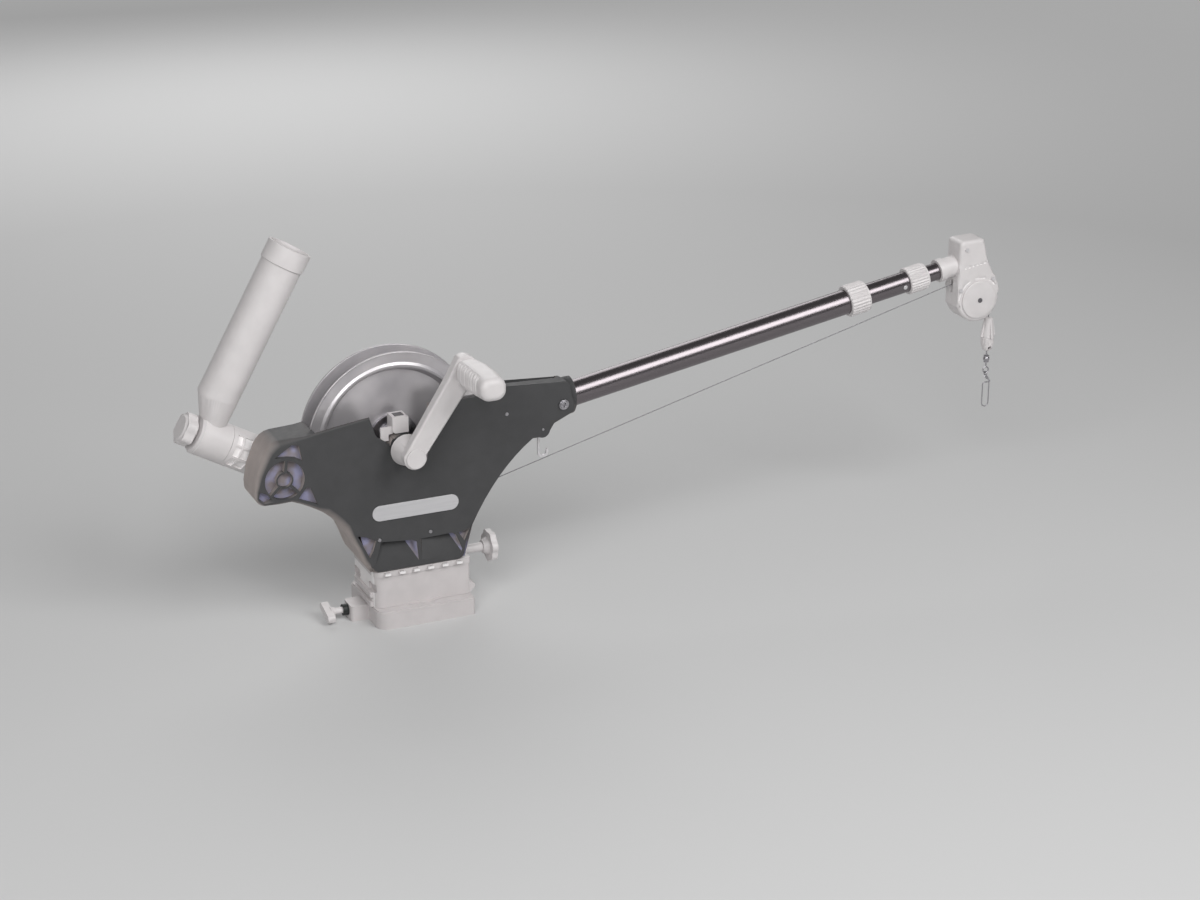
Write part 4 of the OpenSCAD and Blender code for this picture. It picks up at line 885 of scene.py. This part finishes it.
# The drop: round the pulley and straight down to the terminator
over_angle = math.atan2(over_point.z - pulley.z, over_point.x - pulley.x)
BEND_STEPS = 30
bend = [pulley + Vector((math.cos(t), 0, math.sin(t))) * PULLEY_R * MM
        for t in [over_angle * (1 - i / BEND_STEPS) for i in range(BEND_STEPS + 1)]]
drop_end = Vector((bend[-1].x, 0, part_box("terminator")[1].z + 0.3 * MM))
drop = cable_piece("cable_run_drop", bend + stations(bend[-1], drop_end)[1:], "head")
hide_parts("cable_drop")

# Winding on the spool: the core's plain layer and the outer layer of turns
low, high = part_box("cable_winding")
TURNS, STEPS = 12, 48
CORE_IN, CORE_OUT = WOUND_R - 2.7, WOUND_R - 1.6
MARGIN = 0.7 * MM
width = (high.y - low.y) / MM
bm = bmesh.new()
turned(bm, [(0, CORE_IN), (0, CORE_OUT), (width, CORE_OUT), (width, CORE_IN)],
       Vector((AXLE.x, low.y, AXLE.z)), Vector((0, 1, 0)))
turns = []
for i in range(TURNS * STEPS + 1):
    a = 2 * math.pi * i / STEPS - math.pi / 2
    y = low.y + MARGIN + (high.y - low.y - 2 * MARGIN) * i / (TURNS * STEPS)
    turns.append(Vector((AXLE.x + WOUND_R * MM * math.cos(a), y, AXLE.z + WOUND_R * MM * math.sin(a))))
strand(bm, turns, sides=12)
finished(bm, "cable_winding_turns", "spool", [wire], ["cable_winding"], STRAND_DEG)


# Rivet on the middle tube
RIVET_ALONG, RIVET_ANGLE, RIVET_SEAT = 681, math.radians(-8), 13.2
RIVET_R, RIVET_H, RIVET_SINK = 2.8, 0.9, 0.3
bm = bmesh.new()
out = Vector((0, -1, 0)) * math.cos(RIVET_ANGLE) + BOOM_UP * math.sin(RIVET_ANGLE)
start = BOOM_START + BOOM_DIR * RIVET_ALONG * MM + out * RIVET_SEAT * MM
dome = [(RIVET_H * math.sin(math.radians(a)) + RIVET_SINK, RIVET_R * math.cos(math.radians(a)))
        for a in range(0, 81, 16)]
turned(bm, [(0, 0.05), (0, RIVET_R)] + dome + [(RIVET_H + RIVET_SINK, 0.05)], start, out, 32)
finished(bm, "tube_rivet", "boom_middle", [bright_steel])


# Floor and light
FLOOR_SIDE, WORLD_LEVEL = 40, 0.16
FAR_GLOW = [(0.18, 0.0), (0.36, 0.2), (0.6, 0.42)]  # the floor's own light by its distance in tens of metres


def floor_skin():
    """Pale floor that keeps its level far behind the object, where the lamps no longer reach."""
    p = Paint("floor_paint", srgb(206, 206, 206), 0.9)
    far = p.nt.nodes.new("ShaderNodeVectorMath")
    far.operation = "LENGTH"
    p.nt.links.new(p.coords(), far.inputs[0])
    glow = p.ramp(p.math("MULTIPLY", far.outputs["Value"], 0.1), FAR_GLOW)
    rays = p.nt.nodes.new("ShaderNodeLightPath")
    seen = p.math("MAXIMUM", rays.outputs["Is Camera Ray"], rays.outputs["Is Glossy Ray"])
    p.shader.inputs["Emission Color"].default_value = (1, 1, 1, 1)
    p.set("Emission Strength", p.math("MULTIPLY", glow, seen))
    return p


bpy.ops.mesh.primitive_plane_add(size=FLOOR_SIDE, location=(0.25, 0, 0))
floor = bpy.context.object
floor.name = "floor"
floor.data.materials.append(floor_skin().mat)

world = bpy.data.worlds.new("studio")
bpy.context.scene.world = world
world.use_nodes = True
background = world.node_tree.nodes["Background"]
background.inputs["Color"].default_value = (1, 1, 1, 1)
background.inputs["Strength"].default_value = WORLD_LEVEL


def area(name, place, size, power):
    """Round soft lamp that faces the object."""
    light = bpy.data.lights.new(name, "AREA")
    light.energy = power
    light.shape = "DISK"
    light.size = size
    obj = bpy.data.objects.new(name, light)
    bpy.context.scene.collection.objects.link(obj)
    obj.location = place
    obj.rotation_euler = (TARGET - Vector(place)).to_track_quat("-Z", "Y").to_euler()


area("key", (1.15, -2.2, 2.2), 1.9, 48)
area("side", (-1.3, -2.0, 2.1), 2.0, 42)
area("back", (0.6, 2.6, 1.7), 2.4, 30)
